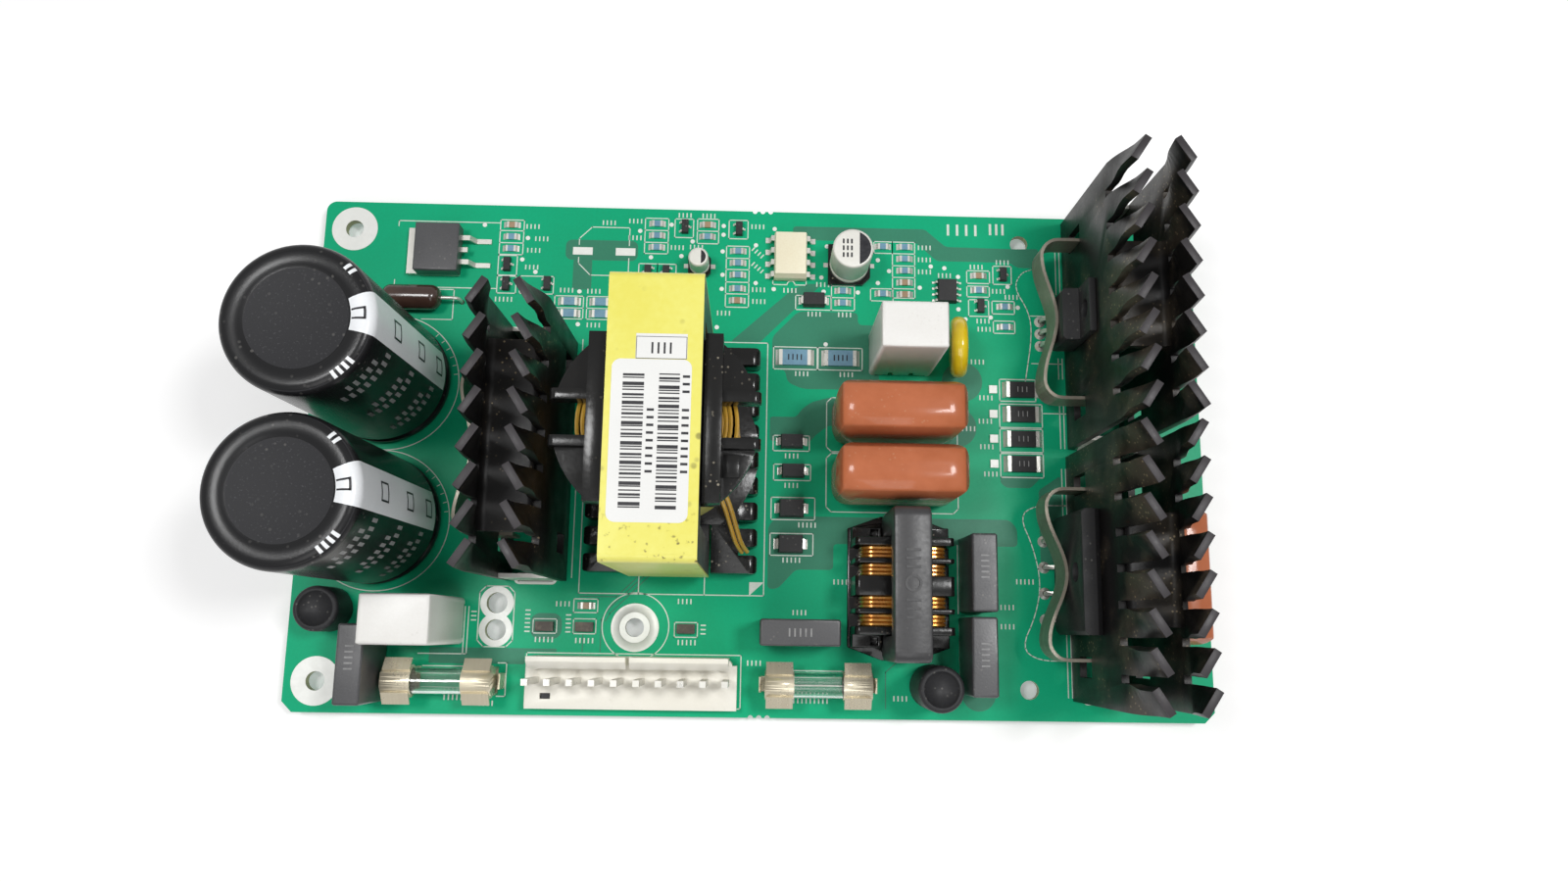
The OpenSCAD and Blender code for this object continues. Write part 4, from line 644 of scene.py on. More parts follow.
# Open lines round larger parts
LINES_ON_BOARD = [
    [(14.8, 96.7), (14.8, 97.8), (35.2, 97.8)], [(14.8, 85.2), (14.8, 83.8), (35.2, 83.8)],
    [(20.8, 77.1), (26.9, 77.1), (26.9, 83.4), (20.0, 83.4)],
    [(51.6, 93.6), (51.6, 94.9), (54.1, 97.4), (61.8, 97.4), (61.8, 93.6)],
    [(51.6, 90.8), (51.6, 89.6), (54.1, 87.1), (61.8, 87.1), (61.8, 90.8)],
    [(91.3, 86.8), (91.3, 86.0), (94.2, 86.0)], [(95.8, 86.0), (98.1, 86.0), (98.1, 86.8)],
    [(107.2, 34.9), (107.2, 13.9)], [(66.3, 26.4), (66.3, 23.0)], [(79.0, 26.4), (79.0, 23.0)],
    [(144.1, 80.5), (150.0, 80.5)], [(144.1, 70.5), (150.0, 70.5)], [(146.0, 60.2), (150.7, 60.2)],
    [(53.3, 73.5), (53.3, 26.0)], [(128.4, 33.4), (128.4, 20.2)], [(128.6, 18.6), (128.6, 5.0)],
    [(24.9, 11.2), (34.0, 11.2), (34.0, 20.1)], [(33.3, 11.2), (33.3, 20.1)],
    [(40.2, 9.6), (41.8, 9.6), (41.8, 3.4), (40.2, 3.4)],
    [(26.0, 8.9), (34.0, 8.9)], [(26.0, 4.1), (34.0, 4.1)],
    [(94.9, 8.9), (106.0, 8.9)], [(94.9, 4.1), (106.0, 4.1)]]
# Frames with cut corners: left, front, right, rear and cut
CUT_FRAMES = [
    (102.5, 51.6, 128.7, 62.6, 1.0), (102.5, 39.6, 128.7, 51.3, 1.0), (35.9, 12.6, 42.6, 24.1, 1.2)]
# Curved lines round the clipped power devices
CURVED_LINES = [
    [(144.7, 90.5), (142.2, 89.6), (140.8, 86.4), (143.8, 81.4), (144.3, 76.4), (142.7, 66.8)],
    [(150.0, 41.6), (144.0, 41.6), (140.8, 39.4), (143.4, 33.4), (144.8, 26.4), (143.6, 20.0), (140.6, 13.8),
     (143.8, 11.4), (150.0, 11.4)]]
SINK_LINES_X = (149.5, 150.3)
SINK_LINES_Y = [(94.7, 85.2), (71.6, 67.4), (62.1, 53.1), (48.9, 39.0), (16.8, 4.5)]
BULK_PLACES = [(15.4, 36.5), (15.4, 64.0)]
BULK_RING_R = 13.7
# Ticks inside the rings of the bulk capacitors: turns in degrees, ends inside the ring and width
TICK_TURNS = range(8, 56, 8)
TICK_INSETS = (0.9, 0.3)
TICK_W = 0.15
EYELET = (66.0, 16.8)
EYELET_RING_R = 6.4
# Half ring at the optocoupler and filled corner by the transformer
NOTCH = (95.0, 86.0)
NOTCH_R = 0.8
CORNER_MARK = [(87.7, 23.0), (90.5, 25.6), (87.7, 25.6)]
# Rows of short plain bars beside the parts: the middles of the rows by number of bars and turn
BAR = (0.26, 1.0)
BAR_PITCH = 0.8
BAR_ROWS = {
    (4, 0): [(99.8, 79.9), (106.0, 79.9), (94.8, 84.8), (101.5, 86.2), (97.4, 67.4), (106.4, 67.4),
        (122.4, 94.6), (122.4, 92.0), (122.4, 89.4), (126.5, 88.7), (133.1, 90.7), (138.5, 91.8),
        (137.6, 85.6), (140.2, 84.4), (134.3, 79.2), (134.5, 77.5), (133.0, 70.6), (131.0, 56.8),
        (134.6, 63.2), (134.4, 58.4), (134.6, 53.2), (135.3, 47.7), (95.6, 50.6), (95.6, 44.7),
        (105.4, 25.9), (97.5, 19.9), (108.0, 2.3), (117.0, 3.9), (138.0, 21.5), (138.0, 17.8),
        (88.9, 10.2), (42.0, 97.2), (43.9, 94.6), (42.4, 92.1), (42.2, 88.5), (49.5, 83.8), (55.0, 83.7),
        (55.2, 76.6), (57.5, 98.4), (62.9, 98.9), (62.9, 95.3), (71.6, 93.4), (75.5, 93.6), (73.0, 100.4),
        (77.9, 100.4), (88.0, 98.3), (88.4, 84.8), (88.5, 82.3), (81.4, 79.7), (75.3, 21.7), (51.9, 20.9),
        (38.3, 2.1)],
    (5, 0): [(98.8, 36.9), (95.8, 30.0), (141.6, 26.5), (36.9, 81.6), (75.9, 13.9), (48.6, 14.1),
        (56.3, 14.0)],
    (10, 0): [(99.4, 3.3)],
    (4, -40): [(88.1, 92.7), (88.1, 89.5)],
    (3, 90): [(79.0, 16.4), (35.0, 18.4)],
    (5, 90): [(53.1, 17.2)],
    (6, 90): [(45.3, 17.6)],
    (6, 0): [(32.4, 3.1)]}
# Taller rows near the rear edge: middle, number of bars and pitch
TALL_BAR = (0.5, 2.4)
TALL_ROWS = [((130.2, 98.6), 4, 1.9), ((137.4, 98.9), 3, 1.3)]
DOT_R = 0.45
DOT_T = 0.04
DOTS = [
    (32.2, 97.3), (70.3, 98.3), (63.9, 96.8), (66.3, 91.2), (72.5, 91.6), (74.7, 94.8), (81.0, 98.3),
    (81.0, 96.4), (80.9, 92.8), (81.0, 87.8), (80.9, 84.8), (87.7, 94.3), (87.8, 86.2), (41.1, 94.7),
    (40.2, 90.1), (43.0, 87.5), (52.1, 83.6), (52.1, 76.7), (80.1, 76.7), (91.5, 97.9), (91.5, 85.0),
    (102.3, 94.4), (101.2, 87.7), (101.7, 84.7), (108.7, 84.7), (102.2, 73.6), (123.7, 90.6),
    (121.4, 86.0), (129.3, 88.5), (129.3, 81.6), (139.5, 86.6), (141.5, 82.2), (135.9, 80.0),
    (115.1, 89.4), (112.8, 91.7), (112.8, 86.8), (126.5, 90.3), (130.7, 79.5)]


def print_board():
    bm = bmesh.new()
    for left, right, levels in FRAMES:
        for level in levels:
            lay_bar(bm, (left, level), (right, level), INK_W, 0.0, INK_T)
        for x in (left, right):
            lay_bar(bm, (x, levels[0]), (x, levels[-1]), INK_W, 0.0, INK_T)
    for points in LINES_ON_BOARD:
        lay_path(bm, points, INK_W, 0.0, INK_T)
    for left, front, right, rear, cut in CUT_FRAMES:
        lay_path(bm, [(left + cut, front), (left, front + cut), (left, rear - cut), (left + cut, rear),
                      (right - cut, rear), (right, rear - cut), (right, front + cut), (right - cut, front),
                      (left + cut, front)], INK_W, 0.0, INK_T)
    for points in CURVED_LINES:
        lay_path(bm, soften(points), INK_W, 0.0, INK_T)
    for x in SINK_LINES_X:
        for top, bottom in SINK_LINES_Y:
            lay_bar(bm, (x, top), (x, bottom), INK_W, 0.0, INK_T)
    for place in BULK_PLACES:
        lay_ring(bm, place, BULK_RING_R, INK_W, 0.0, INK_T)
        for degrees in TICK_TURNS:
            a = math.radians(degrees)
            along = Vector((math.cos(a), math.sin(a)))
            ends = [Vector(place) + along * (BULK_RING_R - inset) for inset in TICK_INSETS]
            lay_bar(bm, *ends, TICK_W, 0.0, INK_T)
    lay_ring(bm, EYELET, EYELET_RING_R, INK_W, 0.0, INK_T)
    lay_ring(bm, NOTCH, NOTCH_R, INK_W, 0.0, INK_T, steps=16, turn=180.0)
    lay_patch(bm, CORNER_MARK, 0.0, 0.0, INK_T)
    for (count, turn), places in BAR_ROWS.items():
        for middle in places:
            lay_bar_row(bm, middle, count, turn, BAR, BAR_PITCH, 0.0, INK_T)
    for middle, count, pitch in TALL_ROWS:
        lay_bar_row(bm, middle, count, 0, TALL_BAR, pitch, 0.0, INK_T)
    bmesh.ops.recalc_face_normals(bm, faces=bm.faces)
    return add_piece("board_legend", bm, LEGEND)


def place_dots():
    bm = bmesh.new()
    for place in DOTS:
        lay_dot(bm, place, DOT_R, 0.0, DOT_T)
    return add_piece("via_dots", bm, DULL_TIN)


# Bare laminate between the copper areas: outlines with their corner rounding,
# round clearances, and narrow gaps beside single tracks. Two outlines, beside the
# film capacitors and beside the front heatsink, are partly painted shadow. Each
# patch is a step thicker than the last, so that no two tops lie in one plane.
CHANNEL_T = 0.01
CHANNEL_STEP = 0.0006
TRACK_GAP_W = 0.22
CHANNELS_AND_SHADOWS = [
    ([(95.3, 98.6), (122.5, 98.6), (126.8, 94.9), (141.1, 94.75), (146.0, 94.9), (146.0, 90.6), (141.5, 90.8),
      (140.0, 91.8), (125.0, 91.8), (120.6, 95.7), (95.3, 95.7)], 0.6),
    ([(83.0, 73.8), (95.5, 85.2), (98.0, 86.3), (101.4, 86.3), (94.9, 79.9), (89.9, 74.8),
      (89.0, 73.8)], 0.5),
    ([(91.4, 75.0), (96.6, 80.4), (108.7, 80.4), (108.7, 77.8), (113.0, 77.8), (113.0, 64.3), (97.6, 64.3),
      (94.6, 65.6), (94.0, 68.2), (91.4, 68.6)], 0.9),
    # Partly painted shadow: this patch beside the film capacitors stands in part for their shadow.
    ([(91.2, 58.5), (96.4, 58.5), (97.6, 60.2), (99.5, 61.6), (103.0, 62.6), (106.0, 62.6), (106.0, 57.0),
      (102.7, 56.8), (100.0, 54.6), (99.4, 53.6), (91.2, 53.6)], 0.6),
    ([(93.0, 38.6), (138.8, 38.6), (140.3, 36.9), (140.3, 33.3), (104.0, 33.3), (104.0, 28.2), (96.7, 28.2),
      (93.2, 24.4), (91.2, 24.4), (91.2, 36.6)], 0.8),
    ([(48.9, 90.3), (63.6, 90.3), (63.6, 94.6), (48.9, 94.6)], 1.3),
    ([(50.6, 84.0), (54.4, 84.0), (54.4, 90.4), (50.6, 90.4)], 0.4),
    ([(45.9, 14.2), (51.9, 14.2), (51.9, 19.1), (45.9, 19.1)], 1.8),
    ([(27.0, 9.4), (45.2, 9.4), (45.2, 11.8), (51.2, 11.8), (51.2, 12.4), (27.0, 12.4)], 0.3),
    ([(137.2, 47.4), (137.2, 46.0), (138.4, 45.0), (143.2, 45.0), (145.6, 47.4)], 0.5),
    # Partly painted shadow: this patch beside the front heatsink stands in part for its shadow.
    ([(144.8, 30.0), (149.2, 30.0), (149.2, 47.6), (144.8, 44.6)], 0.6)]
CLEARANCES = [((129.8, 66.4), 4.1), ((128.6, 57.0), 4.0), ((132.2, 5.0), 3.3)]
TRACK_GAPS = [
    [(55.1, 22.4), (62.1, 22.4), (66.0, 26.2)], [(60.2, 17.8), (61.0, 19.2), (68.2, 26.4)],
    [(59.4, 12.0), (59.4, 18.0), (60.6, 20.0), (67.2, 26.4)], [(56.0, 12.0), (56.0, 15.2)],
    [(90.2, 75.6), (96.0, 81.4)], [(114.2, 2.0), (114.2, 8.8), (117.4, 11.6)], [(51.9, 84.2), (51.9, 77.4)]]


def lay_channels_and_shadows():
    bm = bmesh.new()
    height = CHANNEL_T
    for outline, round_by in CHANNELS_AND_SHADOWS:
        lay_patch(bm, outline, round_by, 0.0, height)
        height += CHANNEL_STEP
    for centre, radius in CLEARANCES:
        lay_dot(bm, centre, radius, 0.0, height, segments=40)
        height += CHANNEL_STEP
    for points in TRACK_GAPS:
        lay_path(bm, points, TRACK_GAP_W, 0.0, CHANNEL_T)
    return add_piece("bare_channels_and_painted_shadows", bm, BARE_MASK_AND_SHADE)


print_board()
place_dots()
lay_channels_and_shadows()

SLEEVE_R = 12.5
SLEEVE_EDGE = 1.8
RIM_STEPS = 6
DISC_R = 8.6
# The printed strip starts on the disc's bevel and ends above the foot of the sleeve. It
# stands off the sleeve by a lift, of which the print's thickness fills a share
BEVEL_W = 0.9
BEVEL_START = 0.32
STRIPE_FOOT = 5.4
PRINT_LIFT = 0.03
PRINT_SOLID = 0.7
PRINT_TURN = 34.5
STRIPE_TURNS = (6.0, 5.0)
MARK_LINE = 0.32
MARK_ZS = (33.6, 20.4, 9.4)
MARK_SIZE = (3.0, 3.2)
# Bracket on the stripe's rim: its legs run from the bevel to a radius, at a turn to
# either side, and a bar joins them between two radii
LEG_START = (DISC_R + 0.1, SLEEVE_TOP - 0.28)
LEG_END_R = 11.0
LEG_TURN = 4.6
LEG_W_TURN = 1.9
JOIN_RADII = (10.7, 11.1)
JOIN_TURN = 11.0
# Rows of plain bars on the rim of the sleeve, turned from the stripe, and on its
# side: height, number of bars and bar height
RIM_ROWS = [(-50.0, 4), (41.0, 2)]
RIM_BAR = (3.0, 5.6)
SLEEVE_ROWS = [(39.4, 5, 2.2), (36.0, 8, 2.2)]
SLEEVE_BAR = (0.7, 1.45)
SLEEVE_ROW_DROPS = (0.0, 12.5, 24.5)
SLEEVE_ROW_TURN = -46.0


def sleeve_profile():
    """Radius and height along the sleeve from the sunk disc over the rim and down the side."""
    points = [(DISC_R, SLEEVE_TOP - BEVEL_START), (DISC_R + BEVEL_W, SLEEVE_TOP),
              (SLEEVE_R - SLEEVE_EDGE, SLEEVE_TOP)]
    for i in range(1, RIM_STEPS + 1):
        a = math.radians(90.0 / RIM_STEPS * i)
        points.append((SLEEVE_R - SLEEVE_EDGE + SLEEVE_EDGE * math.sin(a),
                       SLEEVE_TOP - SLEEVE_EDGE + SLEEVE_EDGE * math.cos(a)))
    points.append((SLEEVE_R, STRIPE_FOOT))
    return points


def sweep_print(bm, place, points, middle, turn, lift, steps):
    """A thin printed strip, swept about the capacitor's axis."""
    sheet = bmesh.new()
    a = math.radians(middle - turn / 2)
    along = Vector((math.cos(a), math.sin(a), 0.0))
    axis = spot(*place, 0.0)
    verts = [sheet.verts.new(axis + along * (r + lift) * MM + Vector((0, 0, (h + lift) * MM)))
             for r, h in points]
    edges = [sheet.edges.new(pair) for pair in zip(verts, verts[1:])]
    bmesh.ops.spin(sheet, geom=verts + edges, cent=axis, axis=(0, 0, 1), angle=math.radians(turn),
                   steps=steps)
    bmesh.ops.recalc_face_normals(sheet, faces=sheet.faces)
    bmesh.ops.solidify(sheet, geom=list(sheet.faces), thickness=lift * PRINT_SOLID * MM)
    bmesh.ops.recalc_face_normals(sheet, faces=sheet.faces)
    join_into(bm, sheet)


def upright(z, tall):
    """A short upright line on the side of the sleeve, centred on a height."""
    return [(SLEEVE_R, z - tall / 2), (SLEEVE_R, z + tall / 2)]


def print_sleeves():
    stripe = bmesh.new()
    marks = bmesh.new()
    rows = bmesh.new()
    profile = sleeve_profile()
    rim = profile[2:6]
    degree = math.degrees(1.0 / SLEEVE_R)
    half_w, half_h = MARK_SIZE[0] / 2 * degree, MARK_SIZE[1] / 2
    lift = 2 * PRINT_LIFT
    for place, middle in zip(BULK_PLACES, STRIPE_TURNS):
        sweep_print(stripe, place, profile, middle, PRINT_TURN, PRINT_LIFT, 12)
        for z in MARK_ZS:
            for side in (-1, 1):
                sweep_print(marks, place, upright(z, MARK_SIZE[1]), middle + side * half_w,
                            MARK_LINE * degree, lift, 2)
                sweep_print(marks, place, upright(z + side * half_h, MARK_LINE), middle,
                            2 * half_w + MARK_LINE * degree, lift, 6)
        leg = [LEG_START, (DISC_R + BEVEL_W, SLEEVE_TOP), (LEG_END_R, SLEEVE_TOP)]
        for side in (-1, 1):
            sweep_print(marks, place, leg, middle + side * LEG_TURN, LEG_W_TURN, lift, 2)
        sweep_print(marks, place, [(r, SLEEVE_TOP) for r in JOIN_RADII], middle, JOIN_TURN, lift, 6)
        for drop in SLEEVE_ROW_DROPS:
            for z, count, tall in SLEEVE_ROWS:
                for i in range(count):
                    turn = middle + SLEEVE_ROW_TURN + (i - (count - 1) / 2) * SLEEVE_BAR[1] * degree
                    sweep_print(rows, place, upright(z - drop, tall), turn, SLEEVE_BAR[0] * degree,
                                PRINT_LIFT, 1)
        for turn, count in RIM_ROWS:
            for i in range(count):
                at = middle + turn + (i - (count - 1) / 2) * RIM_BAR[1]
                sweep_print(stripe, place, rim, at, RIM_BAR[0], PRINT_LIFT, 2)
    add_piece("sleeve_stripes", stripe, SLEEVE_PRINT, smooth_angle=40.0)
    add_piece("sleeve_marks", marks, DARK_INK, smooth_angle=40.0)
    add_piece("sleeve_bar_rows", rows, PALE_INK)


print_sleeves()

# Can tops: place, radius and height of the flat top, with a dark segment on the right third
CAN_TOPS = [((106.8, 90.3), 3.5, 10.6), ((76.3, 89.4), 1.5, 6.2)]
SEGMENT_FROM = 0.36
# Rows of bars on chip and box tops: places, height, bars, turn, bar size, pitch and ink
CHIP_ROWS = [
    ([(105.7, 91.7), (105.7, 90.3), (105.7, 88.9)], "can_capacitors", 3, 0, (0.35, 0.95), 0.8, DARK_INK),
    ([(96.0, 70.7), (105.2, 70.7)], "resistor_chips", 4, 0, (0.25, 1.2), 0.85, DARK_INK),
    ([(141.8, 64.9), (141.8, 59.85), (141.8, 54.8), (141.8, 49.75)], "sense_resistors", 3, 0,
     (0.16, 1.1), 0.9, PALE_INK)]
# Box capacitors by number, with the middle and the turn of the bars on top
for number, middle, turn in ((2, (131.0, 28.6), 90), (3, (130.8, 12.6), 90), (1, (16.7, 10.6), 90),
                             (4, (97.3, 16.1), 0)):
    CHIP_ROWS.append(([middle], f"box_capacitor_{number}", 5, turn, (0.3, 1.5), 1.0, PALE_INK))


def print_cans():
    bm = bmesh.new()
    for place, radius, z in CAN_TOPS:
        segment = bmesh.new()
        lay_dot(segment, place, radius, z, INK_T, segments=40)
        bmesh.ops.bisect_plane(segment, geom=segment.verts[:] + segment.edges[:] + segment.faces[:],
                               plane_co=spot(place[0] + SEGMENT_FROM * radius, place[1], z),
                               plane_no=(1, 0, 0), clear_inner=True)
        bmesh.ops.holes_fill(segment, edges=segment.edges[:])
        bmesh.ops.recalc_face_normals(segment, faces=segment.faces)
        join_into(bm, segment)
    return add_piece("can_segments", bm, DARK_INK)


def print_chips():
    inks = {DARK_INK: bmesh.new(), PALE_INK: bmesh.new()}
    for places, node, count, turn, bar, pitch, ink in CHIP_ROWS:
        bm = inks[ink]
        top = top_of(node)
        for place in places:
            lay_bar_row(bm, place, count, turn, bar, pitch, top, INK_T)
    for ink, bm in inks.items():
        add_piece("top_bars_" + ink.name, bm, ink)


print_cans()
print_chips()

XFMR = (72.5, 49.0)
LABEL_Z = top_of("transformer_labels") - INK_T
# Points this near the top of the labels belong to their top faces
LABEL_BAND = 0.02
# Stacks of bars, each with its left and right ends, and the columns of short bars beside them
LABEL_STACKS = [(67.8, 71.1), (73.4, 76.6)]
LABEL_SPAN = (34.4, 55.2)
STACK_BARS = (0.2, 0.55, 0.2, 0.36, 0.2)
STACK_GAPS = (0.3, 0.42, 0.24)
COLUMN_BAR = (0.4, 1.1)
COLUMN_PITCH = 1.2
LABEL_COLUMNS = [((72.2, 44.7), 9), ((77.6, 44.7), 9), ((77.6, 53.6), 3)]
SMALL_LABEL = [(69.7, 57.6), (77.5, 57.6), (77.5, 61.1), (69.7, 61.1), (69.7, 57.6)]
SMALL_LINE_W = 0.08
SMALL_ROW = ((73.6, 59.3), 4)
SMALL_BAR = (0.3, 1.8)
SMALL_PITCH = 0.95
COIL_R = 13.3
COIL_Z = (12.6, 40.6)
TUBE_R = 8.6
WIRE_R = 0.36
TURN_SIDES = 6
TURN_STEPS = 60
# Room between the bobbin's tube and the first turn of the top layer
TUBE_GAP = 0.1
# Turn of tape round the coil: gap, thickness, foot, height, and where it starts and how far it goes
COIL_TAPE_GAP = 0.12
COIL_TAPE_T = 0.2
COIL_TAPE_Z = 14.0
COIL_TAPE_H = 18.0
COIL_TAPE_TURN = (-85.0, 45.0)
LEAD_OUT_R = 0.42


def sink_labels():
    """A copy of the labels with its top lower by the thickness of the ink that stands on it."""
    bm = merged_copy("transformer_labels")
    top = max(v.co.z for v in bm.verts)
    upper = [v for v in bm.verts if v.co.z > top - LABEL_BAND * MM]
    bmesh.ops.translate(bm, vec=(0, 0, -INK_T * MM), verts=upper)
    return add_piece("transformer_labels_surface", bm, MATERIALS["white_label"],
                     "transformer_labels")


def print_label():
    """Two stacks of plain bars across the large label, and a framed row on the small one."""
    bm = bmesh.new()
    for stack, (left, right) in enumerate(LABEL_STACKS):
        y = LABEL_SPAN[0]
        i = stack
        while y < LABEL_SPAN[1]:
            thick = STACK_BARS[i % len(STACK_BARS)]
            lay_bar(bm, (left + thick / 2, y), (right - thick / 2, y), thick, LABEL_Z, INK_T)
            y += thick + STACK_GAPS[i % len(STACK_GAPS)]
            i += 1
    for middle, count in LABEL_COLUMNS:
        lay_bar_row(bm, middle, count, 90, COLUMN_BAR, COLUMN_PITCH, LABEL_Z, INK_T)
    lay_path(bm, SMALL_LABEL, SMALL_LINE_W, LABEL_Z, INK_T)
    lay_bar_row(bm, *SMALL_ROW, 0, SMALL_BAR, SMALL_PITCH, LABEL_Z, INK_T)
    return add_piece("label_bars", bm, DARK_INK)


def wind_ring(bm, radius, z):
    """One turn of wire round the axis of the transformer's coil."""
    place = Matrix.Translation(spot(XFMR[0] + radius, XFMR[1], z)) @ Matrix.Rotation(math.pi / 2, 4, "X")
    made = bmesh.ops.create_circle(bm, cap_ends=False, segments=TURN_SIDES, radius=WIRE_R * MM, matrix=place)
    verts = made["verts"]
    edges = list({e for v in verts for e in v.link_edges})
    bmesh.ops.spin(bm, geom=verts + edges, cent=spot(*XFMR, z), axis=(0, 0, 1), angle=math.tau,
                   steps=TURN_STEPS, use_merge=True)


def wind_transformer():
    bm = bmesh.new()
    z = COIL_Z[0] + WIRE_R
    while z < COIL_Z[1] - WIRE_R:
        wind_ring(bm, COIL_R - WIRE_R, z)
        z += 2 * WIRE_R
    radius = TUBE_R + WIRE_R + TUBE_GAP
    while radius < COIL_R - 3 * WIRE_R:
        wind_ring(bm, radius, COIL_Z[1] - WIRE_R)
        radius += 2 * WIRE_R
    bmesh.ops.recalc_face_normals(bm, faces=bm.faces)
    return add_piece("transformer_turns", bm, LEAD_WIRE, "transformer_winding",
                     WIRE_ANGLE)


def wrap_coil_tape():
    """A turn of tape round the front right of the coil, below the flange."""
    bm = bmesh.new()
    start, turn = COIL_TAPE_TURN
    lay_ring(bm, XFMR, COIL_R + COIL_TAPE_GAP, COIL_TAPE_T, COIL_TAPE_Z, COIL_TAPE_H, steps=16,
             start=start, turn=turn)
    bmesh.ops.recalc_face_normals(bm, faces=bm.faces)
    return add_piece("coil_tape", bm, MATERIALS["yellow_tape"], smooth_angle=40.0)


LEAD_OUTS = [
    [(81.3, 41.2, 28.0), (82.8, 38.8, 24.5), (84.2, 34.8, 16.5), (85.2, 31.8, 12.2), (86.2, 30.8, 8.4)],
    [(82.2, 41.6, 28.0), (83.8, 39.0, 24.5), (85.2, 34.8, 16.5), (86.2, 31.8, 12.2), (87.2, 30.9, 8.4)]]
sink_labels()
print_label()
wind_transformer()
wrap_coil_tape()
add_wires("transformer_lead_outs", LEAD_OUTS, LEAD_OUT_R, LEAD_WIRE)

# Dark patch in the keyway of the header's base: painted shade in the recess
KEYWAY_SHADE = [(48.95, 3.25), (50.85, 3.25), (50.85, 4.25), (48.95, 4.25)]
KEYWAY_SHADE_Z = 1.6
KEYWAY_SHADE_T = 0.9


def shade_header_keyway():
    bm = bmesh.new()
    lay_patch(bm, KEYWAY_SHADE, 0.0, KEYWAY_SHADE_Z, KEYWAY_SHADE_T)
    return add_piece("header_keyway_painted_shade", bm, DARK_INK)


shade_header_keyway()

CHOKE = (116.6, 24.9)
CHOKE_TOP = top_of("choke_core")
# Width, height and middle height of a turn, and the rounding of its corners
CHOKE_COIL = (16.2, 8.6, 5.5)
CHOKE_CORNER_R = 2.0
CORNER_STEPS = 4
CHOKE_WIRE_R = 0.37
CHOKE_PITCH = 0.76
CHOKE_BAYS = (-6.3, -3.0, 3.0, 6.3)
# Raised ring and bars on the core: ring radius, width and height, and the bars' shifts,
# number, size, pitch and height
RAISED_RING = (1.3, 0.45)
RAISED_RING_T = 0.18
CHOKE_MARKS = (-4.4, 4.4)
RAISED_COUNT = 3
RAISED_BAR = (0.45, 2.6)
RAISED_PITCH = 1.5
RAISED_BAR_T = 0.15


def choke_loop(y):
    """Places round one turn of wire on the choke's bobbin."""
    half_w, half_h = CHOKE_COIL[0] / 2 - WIRE_R, CHOKE_COIL[1] / 2 - WIRE_R
    r = CHOKE_CORNER_R
    places = []
    for sx, sz, start in ((1, 1, 0), (-1, 1, 90), (-1, -1, 180), (1, -1, 270)):
        for i in range(CORNER_STEPS + 1):
            a = math.radians(start + 90.0 / CORNER_STEPS * i)
            places.append((CHOKE[0] + sx * (half_w - r) + r * math.cos(a), CHOKE[1] + y,
                           CHOKE_COIL[2] + sz * (half_h - r) + r * math.sin(a)))
    return places


def emboss_choke():
    """A raised ring in the middle of the core's top, with raised bars before and behind it."""
    bm = bmesh.new()
    lay_ring(bm, CHOKE, *RAISED_RING, CHOKE_TOP, RAISED_RING_T, steps=32)
    for shift in CHOKE_MARKS:
        lay_bar_row(bm, (CHOKE[0], CHOKE[1] + shift), RAISED_COUNT, 90, RAISED_BAR, RAISED_PITCH, CHOKE_TOP,
                    RAISED_BAR_T)
    bmesh.ops.recalc_face_normals(bm, faces=bm.faces)
    return add_piece("choke_ring", bm, MATERIALS["ferrite"], smooth_angle=40.0)


choke_loops = [choke_loop(bay + step * CHOKE_PITCH) for bay in CHOKE_BAYS for step in (-1, 0, 1)]
add_wires("choke_turns", choke_loops, CHOKE_WIRE_R, MATERIALS["enamelled_copper"],
          cyclic=True, replaced="choke_winding", sides=1)
emboss_choke()


# The floor, in metres: it lies just under the lead tails, and glows a little to the
# camera, and more with distance from the object
FLOOR_PLACE = (0.015, 0.0, -0.0021)
FLOOR_HALF = 3.0
FLOOR_GLOW = 0.2
FLOOR_FADE = (0.25, 0.7)


def lay_floor():
    bm = bmesh.new()
    bmesh.ops.create_grid(bm, x_segments=1, y_segments=1, size=FLOOR_HALF,
                          matrix=Matrix.Translation(FLOOR_PLACE))
    mesh = bpy.data.meshes.new("studio_floor")
    bm.to_mesh(mesh)
    bm.free()
    material = bpy.data.materials.new("pale_floor")
    material.use_nodes = True
    tree = material.node_tree
    shader = tree.nodes["Principled BSDF"]
    shader.inputs["Base Color"].default_value = (0.9, 0.9, 0.9, 1.0)
    shader.inputs["Roughness"].default_value = 0.7
    shader.inputs["Emission Color"].default_value = (1.0, 1.0, 1.0, 1.0)
    path = tree.nodes.new("ShaderNodeLightPath")
    away = tree.nodes.new("ShaderNodeVectorMath")
    away.operation = "LENGTH"
    tree.links.new(tree.nodes.new("ShaderNodeTexCoord").outputs["Object"], away.inputs[0])
    white = add_range(tree, away.outputs["Value"], *FLOOR_FADE, FLOOR_GLOW, 1.0)
    seen = add_math(tree, "MAXIMUM", path.outputs["Is Glossy Ray"], path.outputs["Is Transmission Ray"])
    glow = add_math(tree, "MAXIMUM", add_math(tree, "MULTIPLY", path.outputs["Is Camera Ray"], white),
                    add_math(tree, "MULTIPLY", seen, FLOOR_GLOW))
    tree.links.new(glow, shader.inputs["Emission Strength"])
    mesh.materials.append(material)
    floor = put_in_scene("studio_floor", mesh)


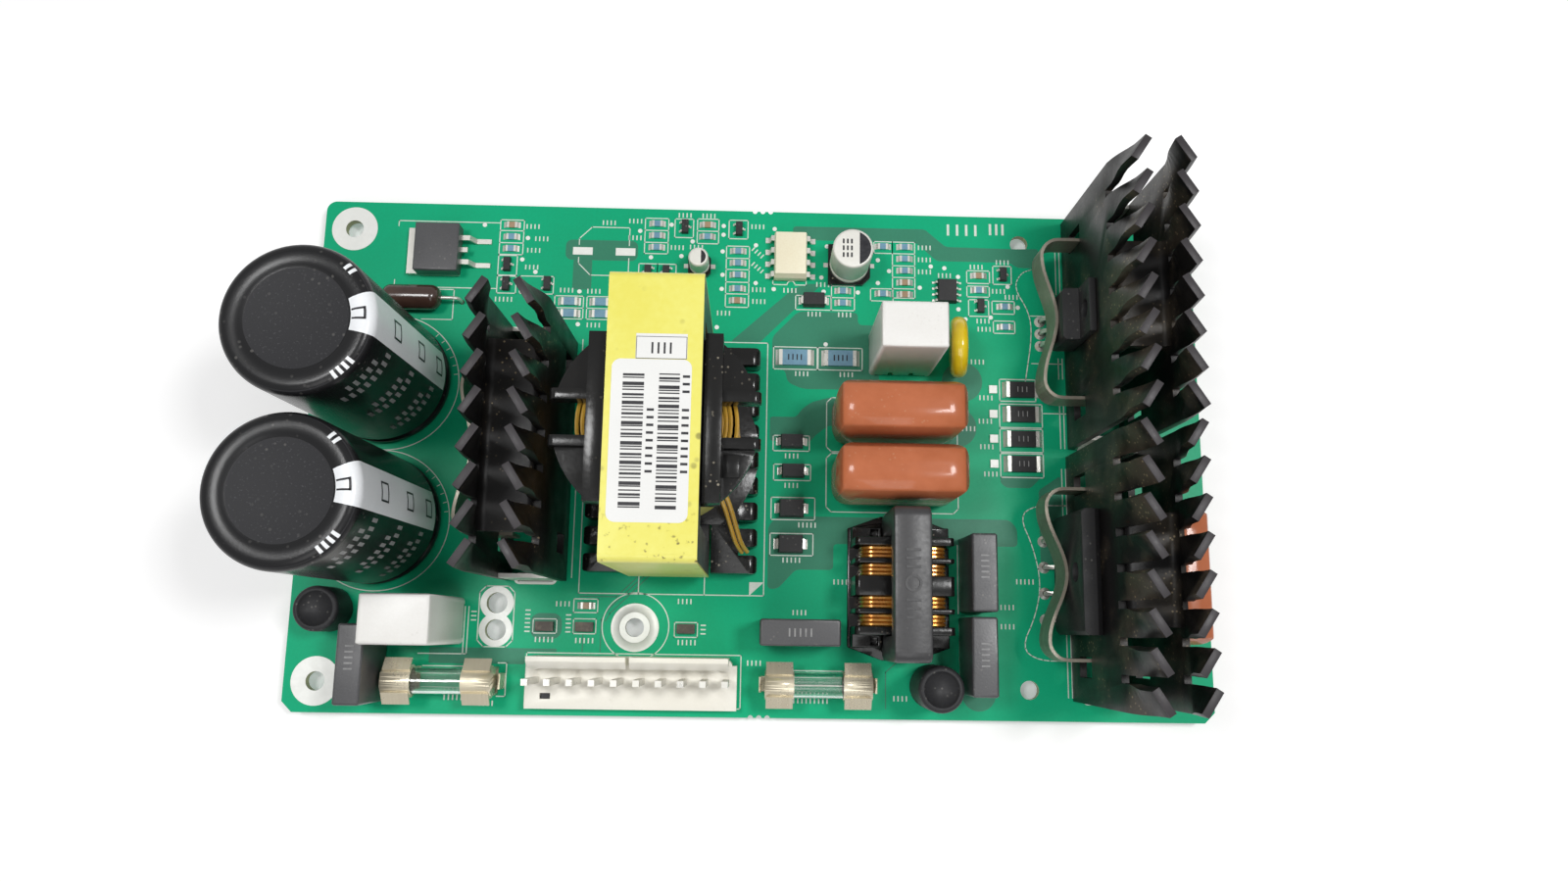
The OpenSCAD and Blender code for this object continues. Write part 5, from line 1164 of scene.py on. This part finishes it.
def add_lamp(name, place, target, size, power):
    lamp = bpy.data.lights.new(name, "AREA")
    lamp.shape = "RECTANGLE"
    lamp.size, lamp.size_y = size
    lamp.energy = power
    holder = put_in_scene(name, lamp)
    holder.location = place
    holder.rotation_euler = (Vector(target) - Vector(place)).to_track_quat("-Z", "Y").to_euler()


# The world is white to the camera and through glass, dimmer in reflections, and lights
# at its own level
WORLD_LEVEL = 0.3
GLOSSY_SHARE = 0.25
# Lamps: name, place, target and size in metres, and power in watts
LAMPS = [
    ("right_softbox", (0.24, 0.045, 0.5), (0.03, 0.0, 0.0), (0.1, 0.1), 1.12),
    ("left_softbox", (-0.16, 0.035, 0.46), (-0.02, 0.0, 0.02), (0.1, 0.1), 0.66),
    ("front_softbox", (0.02, -0.35, 0.55), (0.0, 0.0, 0.0), (0.36, 0.36), 0.85)]
# Camera at the photograph's angle: place in metres, turns in degrees, lens and sensor in millimetres
CAMERA_PLACE = (0.014707, -0.034801, 0.212945)
CAMERA_TURNS = (10.0603, -1.5944, 0.8260)
CAMERA_LENS = 24.777
CAMERA_SENSOR = 36.0
CAMERA_NEAR = 0.005


def light_studio():
    world = bpy.data.worlds.new("studio_white")
    bpy.context.scene.world = world
    world.use_nodes = True
    tree = world.node_tree
    background = tree.nodes["Background"]
    background.inputs["Color"].default_value = (1.0, 1.0, 1.0, 1.0)
    path = tree.nodes.new("ShaderNodeLightPath")
    seen = add_math(tree, "MAXIMUM", path.outputs["Is Camera Ray"], path.outputs["Is Transmission Ray"])
    mirrored = add_math(tree, "MULTIPLY", path.outputs["Is Glossy Ray"], GLOSSY_SHARE)
    seen = add_math(tree, "MAXIMUM", seen, mirrored)
    tree.links.new(add_range(tree, seen, 0.0, 1.0, WORLD_LEVEL, 1.0), background.inputs["Strength"])
    for lamp in LAMPS:
        add_lamp(*lamp)


def set_camera():
    camera = bpy.data.cameras.new("photo_camera")
    camera.sensor_width = CAMERA_SENSOR
    camera.lens = CAMERA_LENS
    camera.clip_start = CAMERA_NEAR
    holder = put_in_scene("photo_camera", camera)
    holder.location = CAMERA_PLACE
    holder.rotation_euler = [math.radians(a) for a in CAMERA_TURNS]
    bpy.context.scene.camera = holder


lay_floor()
light_studio()
set_camera()
bpy.context.scene.view_settings.view_transform = "Standard"
